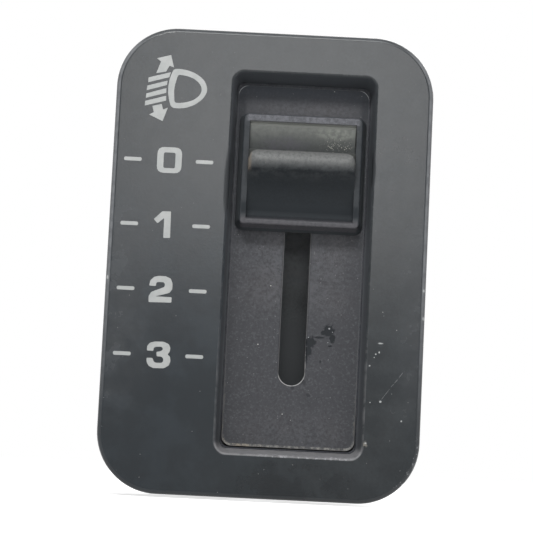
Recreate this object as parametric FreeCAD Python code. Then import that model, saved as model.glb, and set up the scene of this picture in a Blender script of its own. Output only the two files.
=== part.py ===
import FreeCAD
import Part
import math
import os

V = FreeCAD.Vector

# X to the right, Z up, the face looks towards -Y and the case goes back along +Y
# origin: centre of the faceplate's rear seat, the plane that lies on the panel
# sizes in millimetres

# travel of the knob
steps = 4
step_pitch = 8.76
stroke = step_pitch * (steps - 1)
rest_drop = 0.29
rest_z = stroke / 2 - rest_drop

# knob
knob_base_half_width = 8.7
knob_base_half_height = 8.1
knob_draft = 0.6
knob_rim_half_width = knob_base_half_width - knob_draft
knob_rim_half_height = knob_base_half_height - knob_draft
knob_base_corner = 1.2
knob_lip = 0.85
knob_edge_round = 0.25
knob_back_y = 0.0
knob_height = 2.8
knob_rim_y = knob_back_y - knob_height
ridge_height = 2.8
knob_crest_y = knob_rim_y - ridge_height
ridge_end_round = 1.2
ridge_corner = 0.75
thumb_step = 0.66
thumb_depth = 1.08
low_lip_round = 0.4
knob_under_depth = 0.35

# floor of the window and the window in the faceplate
well_x = 4.0
well_z = 0.14
floor_side_gap = 0.27
floor_end_gap = 3.46
pad_half_width = knob_base_half_width + floor_side_gap
pad_half_height = stroke / 2 + knob_base_half_height + floor_end_gap
pad_corner = 1.3
window_side_gap = 0.12
window_end_gap = 0.2
window_half_width = pad_half_width + window_side_gap
window_half_height = pad_half_height + window_end_gap
window_side_draft = 0.59
window_end_draft = 0.86
window_corner = 0.9
window_edge_round = 0.35
collar_wall = 1.5

# case
case_side_margin = 4.41
case_end_margin = 2.6
case_half_width = well_x + window_half_width + case_side_margin
case_half_height = window_half_height + case_end_margin
case_corner = 2.0
case_wall = 1.5
knob_floor_gap = 0.2
pad_rise = 1.2
floor_y = knob_back_y + knob_floor_gap
case_front_y = floor_y + pad_rise
case_inner_y = case_front_y + case_wall
case_depth = 17.1
case_back_y = case_front_y + case_depth
room_half_width = case_half_width - case_wall
room_half_height = case_half_height - case_wall

# faceplate
plate_side_lap = 4.0
plate_end_lap = 4.0
plate_width = 2 * (case_half_width + plate_side_lap)
plate_height = 2 * (case_half_height + plate_end_lap)
plate_corner = 8.2
plate_depth = 4.0
face_y = -plate_depth
face_wall = 2.0
face_back_y = face_y + face_wall
skirt_wall = 1.4
face_edge_round = 0.7

# slot and stem
slot_x = 4.05
slot_width = 3.5
stem_fit = 0.1
stem_width = slot_width - 2 * stem_fit
stem_length = 4.0
stem_lift = 0.3
stem_end_gap = 0.94
stem_reach = 1.9
slot_half_length = stroke / 2 + stem_length / 2 + stem_end_gap
slot_lead = 0.25
socket_fit = 0.02

# slide carriage
slide_gap = 0.1
carriage_front_y = case_inner_y + slide_gap
carriage_depth = 5.0
carriage_back_y = carriage_front_y + carriage_depth
carriage_end_inset = 1.6
carriage_half_height = knob_base_half_height - carriage_end_inset
carriage_overhang = 0.2
leaf_room = 3.35
carriage_left_x = slot_x - knob_base_half_width - carriage_overhang
carriage_right_x = slot_x + knob_base_half_width - leaf_room
rail_fit = 0.15
rail_x = carriage_left_x - rail_fit
rail_wall = 1.4
rail_half_length = stroke / 2 + carriage_half_height + 1.36
rack_inset = 0.75
rack_x = slot_x + knob_base_half_width - rack_inset
rack_fit = 0.12
rack_end = 6.86
flange_wall = 1.2
flange_right_x = rack_x - rack_fit
flange_back_y = carriage_front_y + flange_wall
rack_back_y = carriage_back_y - 0.2
horn_wall = 1.6
horn_right_x = rack_x - 0.8

# detent
notch_radius = 1.2
notch_x = rack_x - 0.1
nose_fit = 0.05
nose_radius = notch_radius - nose_fit
leaf_thick = 0.25
leaf_half_length = 5.45
leaf_end_x = carriage_right_x + 0.38
leaf_bow = 0.37
leaf_slot_fit = 0.08

# board and contacts
board_gap = 8.1
board_front_y = case_inner_y + board_gap
board_thick = 1.6
board_back_y = board_front_y + board_thick
board_fit = 0.2
board_half_width = room_half_width - board_fit
board_half_height = room_half_height - board_fit
copper = 0.12
track_y = board_front_y - copper
wiper_thick = 0.3
wiper_reach = 3.5
finger_offset = (knob_base_half_width + 0.3) / 2
wiper_half_width = finger_offset + 1.5
finger_half_width = 0.9
stake_offset = 2.6
stake_diameter = 1.5
stake_drop = 3.0
track_width = 2.4
track_over_run = 2.0
pad_half_length = 2.4
left_track_x = slot_x - finger_offset
right_track_x = slot_x + finger_offset

# resistors
resistor_x = rack_x + 0.2
resistor_pitch = 10.5
resistor_mid_z = 5.5
resistor_half_span = 4.2
resistor_half_length = 3.4
resistor_waist = 0.95
resistor_cap = 1.15
resistor_lift = 1.35
lead_diameter = 0.6
lead_bend = 0.6
tail_reach = 0.9

# rear cover and socket
cover_wall = 1.5
cover_back_y = case_back_y + cover_wall
cover_lip = 2.0
cover_lip_wall = 1.2
cover_fit = 0.15
socket_inset = 4.5
socket_z = socket_inset - room_half_height
socket_half_width = 7.5
socket_half_height = 3.3
socket_wall = 1.4
socket_depth = 13.5
socket_back_y = cover_back_y + socket_depth
terminal_pitch = 3.5
terminal_width = 1.5
terminal_thick = 0.8
terminal_fit = 0.03
terminal_sunk = 4.9
terminal_tip_y = socket_back_y - terminal_sunk
latch_width = 5.2

# cover screws
post_diameter = 5.4
post_inset = 2.9
post_z = room_half_height - post_inset
post_left_x = 3.7 - room_half_width
post_right_x = room_half_width - 3.3
screw_diameter = 2.9
screw_grip = 5.8
screw_head_diameter = 5.4
screw_head_height = 1.9
screw_fit = 0.03
screw_clear = 0.2
screw_places = ((well_x, post_z), (post_left_x, -post_z), (post_right_x, -post_z))

# legend lamp
partition_wall = 1.2
partition_x = rail_x - rail_wall - partition_wall
lamp_diameter = 3.4
lamp_wall = 0.3
lamp_length = 11.4
lamp_foot = 3.4
holder_diameter = 6.0
holder_rise = 3.5
holder_fit = 0.05
flange_diameter = 9.0
flange_thick = 1.3
contact_thick = 0.3
contact_width = 1.4
lamp_x = partition_x - 3.4
lamp_z = 5.5
lamp_tip_y = 0.6
lamp_foot_y = lamp_tip_y + lamp_length - lamp_foot
lamp_end_y = lamp_tip_y + lamp_length
holder_front_y = board_front_y - holder_rise
grip_end_y = case_back_y - 0.3
light_hole = 6.0
access_diameter = 10.0

# light guide
guide_air = 0.2
guide_side_gap = 0.4
guide_low_z = 10.5 - case_half_height
guide_high_z = case_half_height - 0.3
guide_peg = 2.0
peg_fit = 0.05
peg_x = 2.2 - room_half_width
peg_rows = (guide_low_z + 4.0, guide_high_z - 5.2)

# snap hooks and panel clips
hook_x = case_half_width - 6.5
hook_width = 5.0
hook_wall = 1.2
hook_gap = 0.1
hook_catch = 1.2
hook_catch_y = case_front_y + 3.6
hook_tip_y = hook_catch_y + 3.0
hook_side_fit = 0.2
clip_width = 8.0
clip_leg_width = 5.6
clip_thick = 0.5
clip_bend = 0.9
clip_front_y = case_front_y + 3.0
clip_rear_y = clip_front_y + 10.6
clip_fit = 0.04
clip_rise = 2.8
rail_lip = 1.0


def box(x0, x1, y0, y1, z0, z1):
    return Part.makeBox(x1 - x0, y1 - y0, z1 - z0, V(x0, y0, z0))


def rod(x, z, diameter, y0, y1):
    return Part.makeCylinder(diameter / 2, y1 - y0, V(x, y0, z), V(0, 1, 0))


def outline(cx, cz, half_width, half_height, radius, y):
    left = cx - half_width
    right = cx + half_width
    low = cz - half_height
    high = cz + half_height
    r = radius
    k = r * (1 - math.sqrt(0.5))
    corners = (
        (V(right - r, y, low), V(right - k, y, low + k), V(right, y, low + r)),
        (V(right, y, high - r), V(right - k, y, high - k), V(right - r, y, high)),
        (V(left + r, y, high), V(left + k, y, high - k), V(left, y, high - r)),
        (V(left, y, low + r), V(left + k, y, low + k), V(left + r, y, low)),
    )
    edges = []
    for i in range(4):
        start, middle, end = corners[i]
        following = corners[(i + 1) % 4][0]
        edges.append(Part.Arc(start, middle, end).toShape())
        edges.append(Part.LineSegment(end, following).toShape())
    return Part.Wire(edges)


def slab(cx, cz, half_width, half_height, radius, y0, y1):
    wire = outline(cx, cz, half_width, half_height, radius, y0)
    return Part.Face(wire).extrude(V(0, y1 - y0, 0))


def taper(first, second):
    return Part.makeLoft([first, second], True, True)


def strip(points, thick, x0, x1):
    # sheet bent along a line of (y, z) points, its thickness to the left of the line
    def normal(a, b):
        dy = b[0] - a[0]
        dz = b[1] - a[1]
        n = math.hypot(dy, dz)
        return (-dz / n, dy / n)

    other = []
    last = len(points) - 1
    for i, p in enumerate(points):
        before = normal(points[max(i - 1, 0)], points[max(i, 1)])
        after = normal(points[min(i, last - 1)], points[min(i + 1, last)])
        my = before[0] + after[0]
        mz = before[1] + after[1]
        scale = thick * 2 / (my * my + mz * mz)
        other.append((p[0] + my * scale, p[1] + mz * scale))
    ring = list(points) + other[::-1]
    corners = [V(x0, p[0], p[1]) for p in ring]
    corners.append(corners[0])
    return Part.Face(Part.makePolygon(corners)).extrude(V(x1 - x0, 0, 0))


def bend(cy, cz, radius, start, end, count):
    # points of an arc in the side view, angles in degrees from +Y towards +Z
    points = []
    for i in range(count + 1):
        a = math.radians(start + (end - start) * i / count)
        points.append((cy + radius * math.cos(a), cz + radius * math.sin(a)))
    return points


def fuse(first, others):
    return first.fuse(others).removeSplitter()


def edges_at_y(shape, y, tolerance=0.01):
    found = []
    for edge in shape.Edges:
        b = edge.BoundBox
        if abs(b.YMin - y) < tolerance and abs(b.YMax - y) < tolerance:
            found.append(edge)
    return found


def faceplate():
    half_w = plate_width / 2
    half_h = plate_height / 2
    body = slab(0, 0, half_w, half_h, plate_corner, face_y, 0)
    body = body.makeFillet(face_edge_round, edges_at_y(body, face_y))
    hollow = slab(
        0, 0, half_w - skirt_wall, half_h - skirt_wall, plate_corner - skirt_wall,
        face_back_y, plate_depth,
    )
    body = body.cut(hollow)
    inside = [
        slab(
            well_x, well_z, window_half_width + collar_wall, window_half_height + collar_wall,
            window_corner + collar_wall, face_back_y - face_wall / 4, case_front_y,
        )
    ]
    for side in (-1, 1):
        for x in (-hook_x, hook_x):
            inside.append(hook(x, side))
    body = body.fuse(inside)
    front_half_width = window_half_width + window_side_draft
    front_half_height = window_half_height + window_end_draft
    window = taper(
        outline(well_x, well_z, window_half_width, window_half_height, window_corner, case_front_y),
        outline(
            well_x, well_z, front_half_width, front_half_height,
            window_corner + window_side_draft, face_y,
        ),
    )
    body = body.cut(window).removeSplitter()
    rim = []
    for edge in edges_at_y(body, face_y):
        b = edge.BoundBox
        inside_x = abs(b.Center.x - well_x) < front_half_width + 0.1
        inside_z = abs(b.Center.z - well_z) < front_half_height + 0.1
        if inside_x and inside_z:
            rim.append(edge)
    return body.makeFillet(window_edge_round, rim)


def hook(x, side):
    # snap hook in the side view: a straight arm and a wedge that catches in the case's window
    low = case_half_height + hook_gap
    high = low + hook_wall
    root = face_back_y - face_wall / 8
    points = (
        (root, low), (hook_catch_y, low), (hook_catch_y, low - hook_catch),
        (hook_catch_y + hook_catch / 2, low - hook_catch),
        (hook_tip_y - hook_wall / 3, low), (hook_tip_y, low + hook_wall / 3),
        (hook_tip_y, high - hook_wall / 4), (hook_tip_y - hook_wall / 4, high), (root, high),
    )
    ring = [V(x - hook_width / 2, y, side * z) for y, z in points]
    ring.append(ring[0])
    return Part.Face(Part.makePolygon(ring)).extrude(V(hook_width, 0, 0))


def housing():
    shell = slab(0, 0, case_half_width, case_half_height, case_corner, case_front_y, case_back_y)
    room = slab(
        0, 0, room_half_width, room_half_height, case_corner - case_wall + 0.1,
        case_inner_y, case_back_y + case_wall,
    )
    shell = shell.cut(room)
    root = case_front_y + case_wall / 3
    solids = [slab(well_x, well_z, pad_half_width, pad_half_height, pad_corner, floor_y, case_inner_y)]
    solids += guides(root)
    for x, z in screw_places:
        solids.append(rod(x, z, post_diameter, root, board_front_y))
        side = 1 if z > 0 else -1
        web = sorted((z, side * (room_half_height + case_wall / 3)))
        half = post_diameter / 9
        solids.append(box(x - half, x + half, root, board_front_y, web[0], web[1]))
    for side in (-1, 1):
        for hand in (-1, 1):
            solids.append(clip_rail(side, hand))
            solids.append(locating_rib(side, hand))
    body = shell.fuse(solids)
    cuts = [slot_cut()]
    for i in range(steps):
        z = rest_z - step_pitch * i
        cuts.append(
            rod(notch_x, z, notch_radius * 2, flange_back_y + 2 * rack_fit, rack_back_y + rack_fit)
        )
    for x, z in screw_places:
        cuts.append(
            rod(x, z, screw_diameter + 2 * screw_fit, case_inner_y + 1.3, board_front_y + case_wall)
        )
    for side in (-1, 1):
        for x in (-hook_x, hook_x):
            z = sorted((side * (room_half_height - case_wall), side * (case_half_height + case_wall)))
            half = hook_width / 2 + hook_side_fit
            cuts.append(
                box(x - half, x + half, hook_catch_y - hook_side_fit, hook_tip_y - hook_gap, z[0], z[1])
            )
    cuts.append(rod(lamp_x, lamp_z, light_hole, floor_y, case_inner_y + case_wall))
    for z in peg_rows:
        cuts.append(rod(peg_x, z, guide_peg + 2 * peg_fit, floor_y, case_inner_y + case_wall))
    return body.cut(cuts).removeSplitter()


def guides(root):
    # wall between the two rooms, rail on the left and notched rack on the right of the slide
    partition = box(
        partition_x, partition_x + partition_wall, root, board_front_y - slide_gap,
        socket_z + 3.0, room_half_height + case_wall / 3,
    )
    rail = box(
        rail_x - rail_wall - slide_gap, rail_x, root, carriage_back_y,
        -rail_half_length, rail_half_length,
    )
    half = stroke / 2 + rack_end
    rack = box(rack_x, room_half_width + case_wall / 3, root, rack_back_y, -half, half)
    return [partition, rail, rack]


def locating_rib(side, hand):
    # low tapered rib that centres the case in the panel's opening
    y0 = case_front_y + 1.0
    y1 = case_back_y - 5.0
    rise = 0.6
    root = case_half_width - case_wall / 3
    top = case_half_width + rise
    z = side * case_half_height * 0.6
    ring = [
        V(root, y0, z - rise), V(top, y0, z - rise), V(top, y1 - 3.0, z - rise),
        V(case_half_width, y1, z - rise), V(root, y1, z - rise), V(root, y0, z - rise),
    ]
    rib = Part.Face(Part.makePolygon(ring)).extrude(V(0, 0, 2 * rise))
    return rib.mirror(V(0, 0, 0), V(1, 0, 0)) if hand < 0 else rib


def slot_cut():
    half = slot_width / 2
    hair = 0.001
    straight = slab(
        slot_x, 0, half, slot_half_length, half - hair, floor_y - pad_rise, case_inner_y + pad_rise,
    )
    wide = half + slot_lead
    long = slot_half_length + slot_lead
    lead = taper(
        outline(slot_x, 0, wide, long, wide - hair, floor_y - slot_lead / 5),
        outline(slot_x, 0, half, slot_half_length, half - hair, floor_y + slot_lead * 0.8),
    )
    return straight.fuse(lead)


def clip_rail(side, hand):
    # rail with an overhanging lip that holds one edge of a panel clip
    inner = clip_width / 2 + clip_fit * 1.5
    low = case_half_height
    high = low + clip_thick + rail_lip
    y0 = clip_front_y - 0.4
    y1 = clip_rear_y - 0.5
    foot = box(inner, inner + rail_lip * 1.2, y0, y1, low - case_wall / 3, high)
    under = low + clip_thick + 2 * clip_fit
    lip = box(clip_leg_width / 2 + rail_lip * 0.3, inner + rail_lip * 1.2, y0, y1, under, high)
    rail = foot.fuse(lip).removeSplitter()
    if hand < 0:
        rail = rail.mirror(V(0, 0, 0), V(1, 0, 0))
    if side < 0:
        rail = rail.mirror(V(0, 0, 0), V(0, 0, 1))
    return rail


def knob():
    base = outline(
        slot_x, rest_z, knob_base_half_width, knob_base_half_height, knob_base_corner, knob_back_y,
    )
    rim = outline(
        slot_x, rest_z, knob_rim_half_width, knob_rim_half_height,
        knob_base_corner - knob_draft, knob_rim_y,
    )
    block = taper(base, rim)
    block = block.makeFillet(knob_edge_round, edges_at_y(block, knob_rim_y))
    half = knob_rim_half_width - knob_lip
    dish = knob_rim_half_height - knob_lip
    frame = block.cut(knob_room(half, dish))
    body = fuse(frame, [knob_core(half, dish)])
    wall = 2 * knob_lip - 0.2
    under = slab(
        slot_x, rest_z, knob_base_half_width - wall, knob_base_half_height - wall,
        knob_draft, -knob_under_depth, plate_depth,
    )
    body = body.cut(under)
    boss_wall = 1.1
    boss = slab(
        slot_x, rest_z + stem_lift, stem_width / 2 + boss_wall, stem_length / 2 + boss_wall,
        boss_wall * 0.7, -3 * knob_under_depth, 0,
    )
    body = body.fuse(boss)
    socket = stem_shape(
        stem_width + 2 * socket_fit, stem_length + 2 * socket_fit, -stem_reach - 0.1, plate_depth,
    )
    return body.cut(socket).removeSplitter()


def knob_room(half, dish):
    # opening of the knob's frame; its lower edge is rounded over for the thumb
    def point(z, y):
        return V(slot_x - half, y, rest_z + z)

    front = knob_crest_y - ridge_height
    r = low_lip_round
    k = r * (1 - math.sqrt(0.5))
    low_back = point(-dish, knob_rim_y + r)
    low_front = point(-dish - r, knob_rim_y)
    loop = [
        point(-dish - r, front), point(dish, front), point(dish, plate_depth),
        point(-dish, plate_depth), low_back,
    ]
    edges = [Part.LineSegment(a, b).toShape() for a, b in zip(loop, loop[1:])]
    edges.append(Part.Arc(low_back, point(-dish - k, knob_rim_y + k), low_front).toShape())
    edges.append(Part.LineSegment(low_front, loop[0]).toShape())
    return Part.Face(Part.Wire(edges)).extrude(V(2 * half, 0, 0))


def knob_core(half, dish):
    # side view of the thumb rest: upper dish, ridge with a steep upper side, long lower dish
    # each point is a share of the dish's half height and a height over or depth under the rim
    def point(z, y):
        return V(slot_x - half, y, rest_z + z)

    def arc(a, b, c):
        return Part.Arc(point(*a), point(*b), point(*c)).toShape()

    def line(a, b):
        return Part.LineSegment(point(*a), point(*b)).toShape()

    def rest(share, depth):
        return (share * dish, knob_rim_y + depth * knob_height / 2.8)

    def ridge(share, rise):
        return (share * dish, knob_rim_y - rise * ridge_height)

    top = (dish, knob_rim_y)
    step = rest(0.955, thumb_step)
    foot = rest(0.44, thumb_depth)
    flank_low = rest(0.388, 0.7)
    flank_high = ridge(0.368, 0.464)
    crest = ridge(0.143, 1.0)
    crest_low = ridge(-0.03, 0.807)
    valley = rest(-0.83, 1.4)
    lower = (-dish, knob_rim_y + low_lip_round)
    edges = [
        line((dish, knob_back_y), top),
        line(top, step),
        arc(step, rest(0.69, thumb_step + 0.14), foot),
        arc(foot, rest(0.403, 0.99), flank_low),
        line(flank_low, flank_high),
        arc(flank_high, ridge(0.302, 0.843), crest),
        arc(crest, ridge(0.05, 0.954), crest_low),
        arc(crest_low, ridge(-0.346, 0.036), valley),
        arc(valley, rest(-0.945, 1.15), lower),
        line(lower, (-dish, knob_back_y)),
        line((-dish, knob_back_y), (dish, knob_back_y)),
    ]
    core = Part.Face(Part.Wire(edges)).extrude(V(2 * half, 0, 0))
    return core.common(crown(half)).cut(ridge_corners(half, flank_low[0]))


def ridge_corners(half, flank):
    # what is taken off the upper corner at each end of the ridge, down to the dish
    r = ridge_corner
    y0 = knob_crest_y - r
    y1 = knob_rim_y + thumb_depth
    z = rest_z + flank
    ends = []
    for side in (-1, 1):
        end = slot_x + side * half
        inner = end - side * r
        corner = box(min(end, inner), max(end, inner), y0, y1, z - r, z + r / 4)
        ends.append(corner.cut(rod(inner, z - r, 2 * r, y0, y1)))
    return Part.makeCompound(ends)


def crown(half):
    # rounds the two ends of the ridge
    r = ridge_end_round
    k = r * (1 - math.sqrt(0.5))
    left = slot_x - half
    right = slot_x + half
    y = knob_crest_y
    z = rest_z - 2 * knob_base_half_height
    ends = [
        Part.LineSegment(V(left, 1, z), V(left, y + r, z)).toShape(),
        Part.Arc(V(left, y + r, z), V(left + k, y + k, z), V(left + r, y, z)).toShape(),
        Part.LineSegment(V(left + r, y, z), V(right - r, y, z)).toShape(),
        Part.Arc(V(right - r, y, z), V(right - k, y + k, z), V(right, y + r, z)).toShape(),
        Part.LineSegment(V(right, y + r, z), V(right, 1, z)).toShape(),
        Part.LineSegment(V(right, 1, z), V(left, 1, z)).toShape(),
    ]
    return Part.Face(Part.Wire(ends)).extrude(V(0, 0, 4 * knob_base_half_height))


def stem_shape(width, length, y0, y1):
    radius = width / 2 - 0.001
    return slab(slot_x, rest_z + stem_lift, width / 2, length / 2, radius, y0, y1)


def carriage():
    low = rest_z - carriage_half_height
    high = rest_z + carriage_half_height
    front = carriage_front_y
    back = carriage_back_y
    body = box(carriage_left_x, carriage_right_x, front, back, low, high)
    parts = [
        box(carriage_left_x, flange_right_x, front, flange_back_y, low, high),
        stem_shape(stem_width, stem_length, -stem_reach, front + flange_wall),
    ]
    for z in (low, high - horn_wall):
        parts.append(
            box(carriage_right_x - flange_wall, horn_right_x, front, back - 0.6, z, z + horn_wall)
        )
    for x in (slot_x - stake_offset, slot_x + stake_offset):
        parts.append(
            rod(x, rest_z - stake_drop, stake_diameter, back - flange_wall, back + 2.5 * wiper_thick)
        )
    body = body.fuse(parts)
    web = 1.5
    floor = front + web
    bays = (
        (carriage_left_x + web, left_track_x + web),
        (slot_x - web, slot_x + web),
        (right_track_x - web - 0.2, carriage_right_x - web + 0.2),
    )
    cuts = []
    for x0, x1 in bays:
        cuts.append(box(x0, x1, floor, back + web, rest_z + 0.3, high - web))
    for side in (-1, 1):
        z = sorted((
            rest_z + side * (carriage_half_height - horn_wall - leaf_slot_fit),
            rest_z + side * (leaf_half_length + leaf_slot_fit),
        ))
        cuts.append(
            box(
                leaf_end_x - leaf_thick - leaf_slot_fit, leaf_end_x + leaf_bow + leaf_slot_fit,
                flange_back_y + 0.3, back, z[0], z[1],
            )
        )
    return body.cut(cuts).removeSplitter()


def detent_leaf():
    # bowed leaf with a rounded nose in its middle and its ends held in the carriage's horns
    nose = []
    for i in range(13):
        a = math.radians(-78 + 156 * i / 12)
        nose.append((notch_x + nose_radius * math.cos(a), rest_z + nose_radius * math.sin(a)))
    knee_x = leaf_end_x + leaf_bow
    knee_z = leaf_half_length * 0.88
    neck_x = notch_x - nose_radius
    neck_z = nose_radius * 1.65
    path = [
        (leaf_end_x, rest_z - leaf_half_length), (knee_x, rest_z - knee_z),
        (neck_x, rest_z - neck_z),
    ]
    path += nose
    path += [
        (neck_x, rest_z + neck_z), (knee_x, rest_z + knee_z),
        (leaf_end_x, rest_z + leaf_half_length),
    ]
    y0 = flange_back_y + 2 * rack_fit + 0.16
    y1 = carriage_back_y - 0.7
    leaf = strip(path, leaf_thick, 0, y1 - y0)
    leaf.rotate(V(0, 0, 0), V(0, 0, 1), -90)
    leaf.translate(V(0, y1, 0))
    return leaf


def wiper():
    # bridge plate staked to the carriage with two sprung fingers that reach the tracks
    y0 = carriage_back_y
    thick = wiper_thick
    low = rest_z - stake_drop
    half = 1.6
    plate = box(
        slot_x - wiper_half_width, slot_x + wiper_half_width, y0, y0 + thick, low - half, low + half,
    )
    tip = rest_z + wiper_reach
    rise = track_y - y0
    fingers = []
    for x in (left_track_x, right_track_x):
        points = [
            (y0, low + half - 0.2), (y0, low + half + 0.6), (y0 + 0.69 * rise, tip - 1.1),
            (y0 + 0.82 * rise, tip - 0.55), (track_y - thick, tip),
            (track_y - 1.65 * thick, tip + 0.6), (track_y - 3.2 * thick, tip + 1.1),
        ]
        fingers.append(strip(points[::-1], thick, x - finger_half_width, x + finger_half_width))
    body = fuse(plate, fingers)
    for x in (slot_x - stake_offset, slot_x + stake_offset):
        body = body.cut(rod(x, low, stake_diameter + 2 * socket_fit, y0 - thick, y0 + 2 * thick))
    return body


def terminal_places():
    return [terminal_pitch * (i - 1.5) for i in range(4)]


def resistor_rows():
    return [resistor_mid_z + resistor_pitch * i for i in (1, 0, -1)]


def contact_board():
    y0 = board_front_y - board_thick
    y1 = board_back_y + board_thick
    body = slab(0, 0, board_half_width, board_half_height, 0.5, board_front_y, board_back_y)
    cuts = []
    for x, z in screw_places:
        cuts.append(rod(x, z, screw_diameter + 1.5 * screw_clear, y0, y1))
    for x in terminal_places():
        cuts.append(rod(x, socket_z, terminal_thick * 1.5, y0, y1))
    for z in resistor_rows():
        for end in (-1, 1):
            cuts.append(rod(resistor_x, z + end * resistor_half_span, lead_diameter + 0.2, y0, y1))
    cuts.append(rod(lamp_x, lamp_z, holder_diameter + 2 * holder_fit, y0, y1))
    wing = flange_diameter / 2 - 0.4
    ear = contact_width / 2 + 0.2
    cuts.append(box(lamp_x - wing, lamp_x + wing, y0, y1, lamp_z - ear, lamp_z + ear))
    return body.cut(cuts)


def common_track():
    low = rest_z + wiper_reach - stroke - track_over_run
    high = rest_z + wiper_reach + track_over_run
    return slab(
        right_track_x, (low + high) / 2, track_width / 2, (high - low) / 2, 0.4,
        track_y, board_front_y,
    )


def step_pads():
    pads = []
    for i in range(steps):
        z = rest_z + wiper_reach - step_pitch * i
        pads.append(
            slab(left_track_x, z, track_width / 2, pad_half_length, 0.4, track_y, board_front_y)
        )
    return Part.makeCompound(pads)


def ladder_resistors():
    parts = []
    body_y = board_back_y + resistor_lift
    for z in resistor_rows():
        body = resistor_body()
        body.translate(V(resistor_x, body_y, z))
        parts.append(fuse(body, [resistor_lead(z, body_y)]))
    return Part.makeCompound(parts)


def resistor_body():
    # turned about Z: a waist between two rounded end caps
    waist = resistor_waist
    cap = resistor_cap
    half = resistor_half_length
    neck = lead_diameter * 0.75
    middle = (waist + cap) / 2

    def line(a, b):
        return Part.LineSegment(V(a[0], 0, a[1]), V(b[0], 0, b[1])).toShape()

    def arc(a, b, c):
        return Part.Arc(V(a[0], 0, a[1]), V(b[0], 0, b[1]), V(c[0], 0, c[1])).toShape()

    edges = [
        line((0, -half), (neck, -half)),
        arc((neck, -half), (waist, 0.2 - half), (cap, 0.7 - half)),
        line((cap, 0.7 - half), (cap, 1.2 - half)),
        arc((cap, 1.2 - half), (middle, 1.5 - half), (waist, 1.75 - half)),
        line((waist, 1.75 - half), (waist, half - 1.75)),
        arc((waist, half - 1.75), (middle, half - 1.5), (cap, half - 1.2)),
        line((cap, half - 1.2), (cap, half - 0.7)),
        arc((cap, half - 0.7), (waist, half - 0.2), (neck, half)),
        line((neck, half), (0, half)),
        line((0, half), (0, -half)),
    ]
    return Part.Face(Part.Wire(edges)).revolve(V(0, 0, 0), V(0, 0, 1), 360)


def resistor_lead(z, body_y):
    r = lead_bend
    k = r * (1 - math.sqrt(0.5))
    low = z - resistor_half_span
    high = z + resistor_half_span
    foot = board_front_y - tail_reach
    x = resistor_x
    edges = [
        Part.LineSegment(V(x, foot, low), V(x, body_y - r, low)).toShape(),
        Part.Arc(V(x, body_y - r, low), V(x, body_y - k, low + k), V(x, body_y, low + r)).toShape(),
        Part.LineSegment(V(x, body_y, low + r), V(x, body_y, high - r)).toShape(),
        Part.Arc(V(x, body_y, high - r), V(x, body_y - k, high - k), V(x, body_y - r, high)).toShape(),
        Part.LineSegment(V(x, body_y - r, high), V(x, foot, high)).toShape(),
    ]
    ring = Part.Wire(Part.makeCircle(lead_diameter / 2, V(x, foot, low), V(0, 1, 0)))
    return Part.Wire(edges).makePipeShell([ring], True, True)


def terminal(x):
    # flat blade with a chamfered tip, a shoulder and a thin tail soldered in the board
    half = terminal_width / 2
    t = terminal_thick / 2
    tip = terminal_tip_y
    root = board_back_y + 0.3
    ring = [
        (half, root), (half, tip - t * 2), (half - t, tip),
        (t - half, tip), (-half, tip - t * 2), (-half, root),
    ]
    corners = [V(x + dx, y, socket_z - t) for dx, y in ring]
    corners.append(corners[0])
    blade = Part.Face(Part.makePolygon(corners)).extrude(V(0, 0, 2 * t))
    tail = box(x - t, x + t, board_front_y - tail_reach, root + t, socket_z - t, socket_z + t)
    wide = half + 0.35
    stop_y = case_back_y - terminal_fit
    shoulder = box(x - wide, x + wide, stop_y - 1.0, stop_y, socket_z - t, socket_z + t)
    return fuse(blade, [tail, shoulder])


def solder_joints():
    places = []
    for x in terminal_places():
        places.append((x, socket_z, terminal_thick))
    for z in resistor_rows():
        for end in (-1, 1):
            places.append((resistor_x, z + end * resistor_half_span, lead_diameter))
    parts = []
    for x, z, size in places:
        cone = Part.makeCone(size + 0.35, size * 0.75, 0.7, V(x, board_front_y, z), V(0, -1, 0))
        if size > lead_diameter:
            t = size / 2
            core = box(x - t, x + t, track_y - 2, board_back_y, z - t, z + t)
        else:
            core = rod(x, z, size, track_y - 2, board_back_y)
        parts.append(cone.cut(core))
    return Part.makeCompound(parts)


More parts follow.
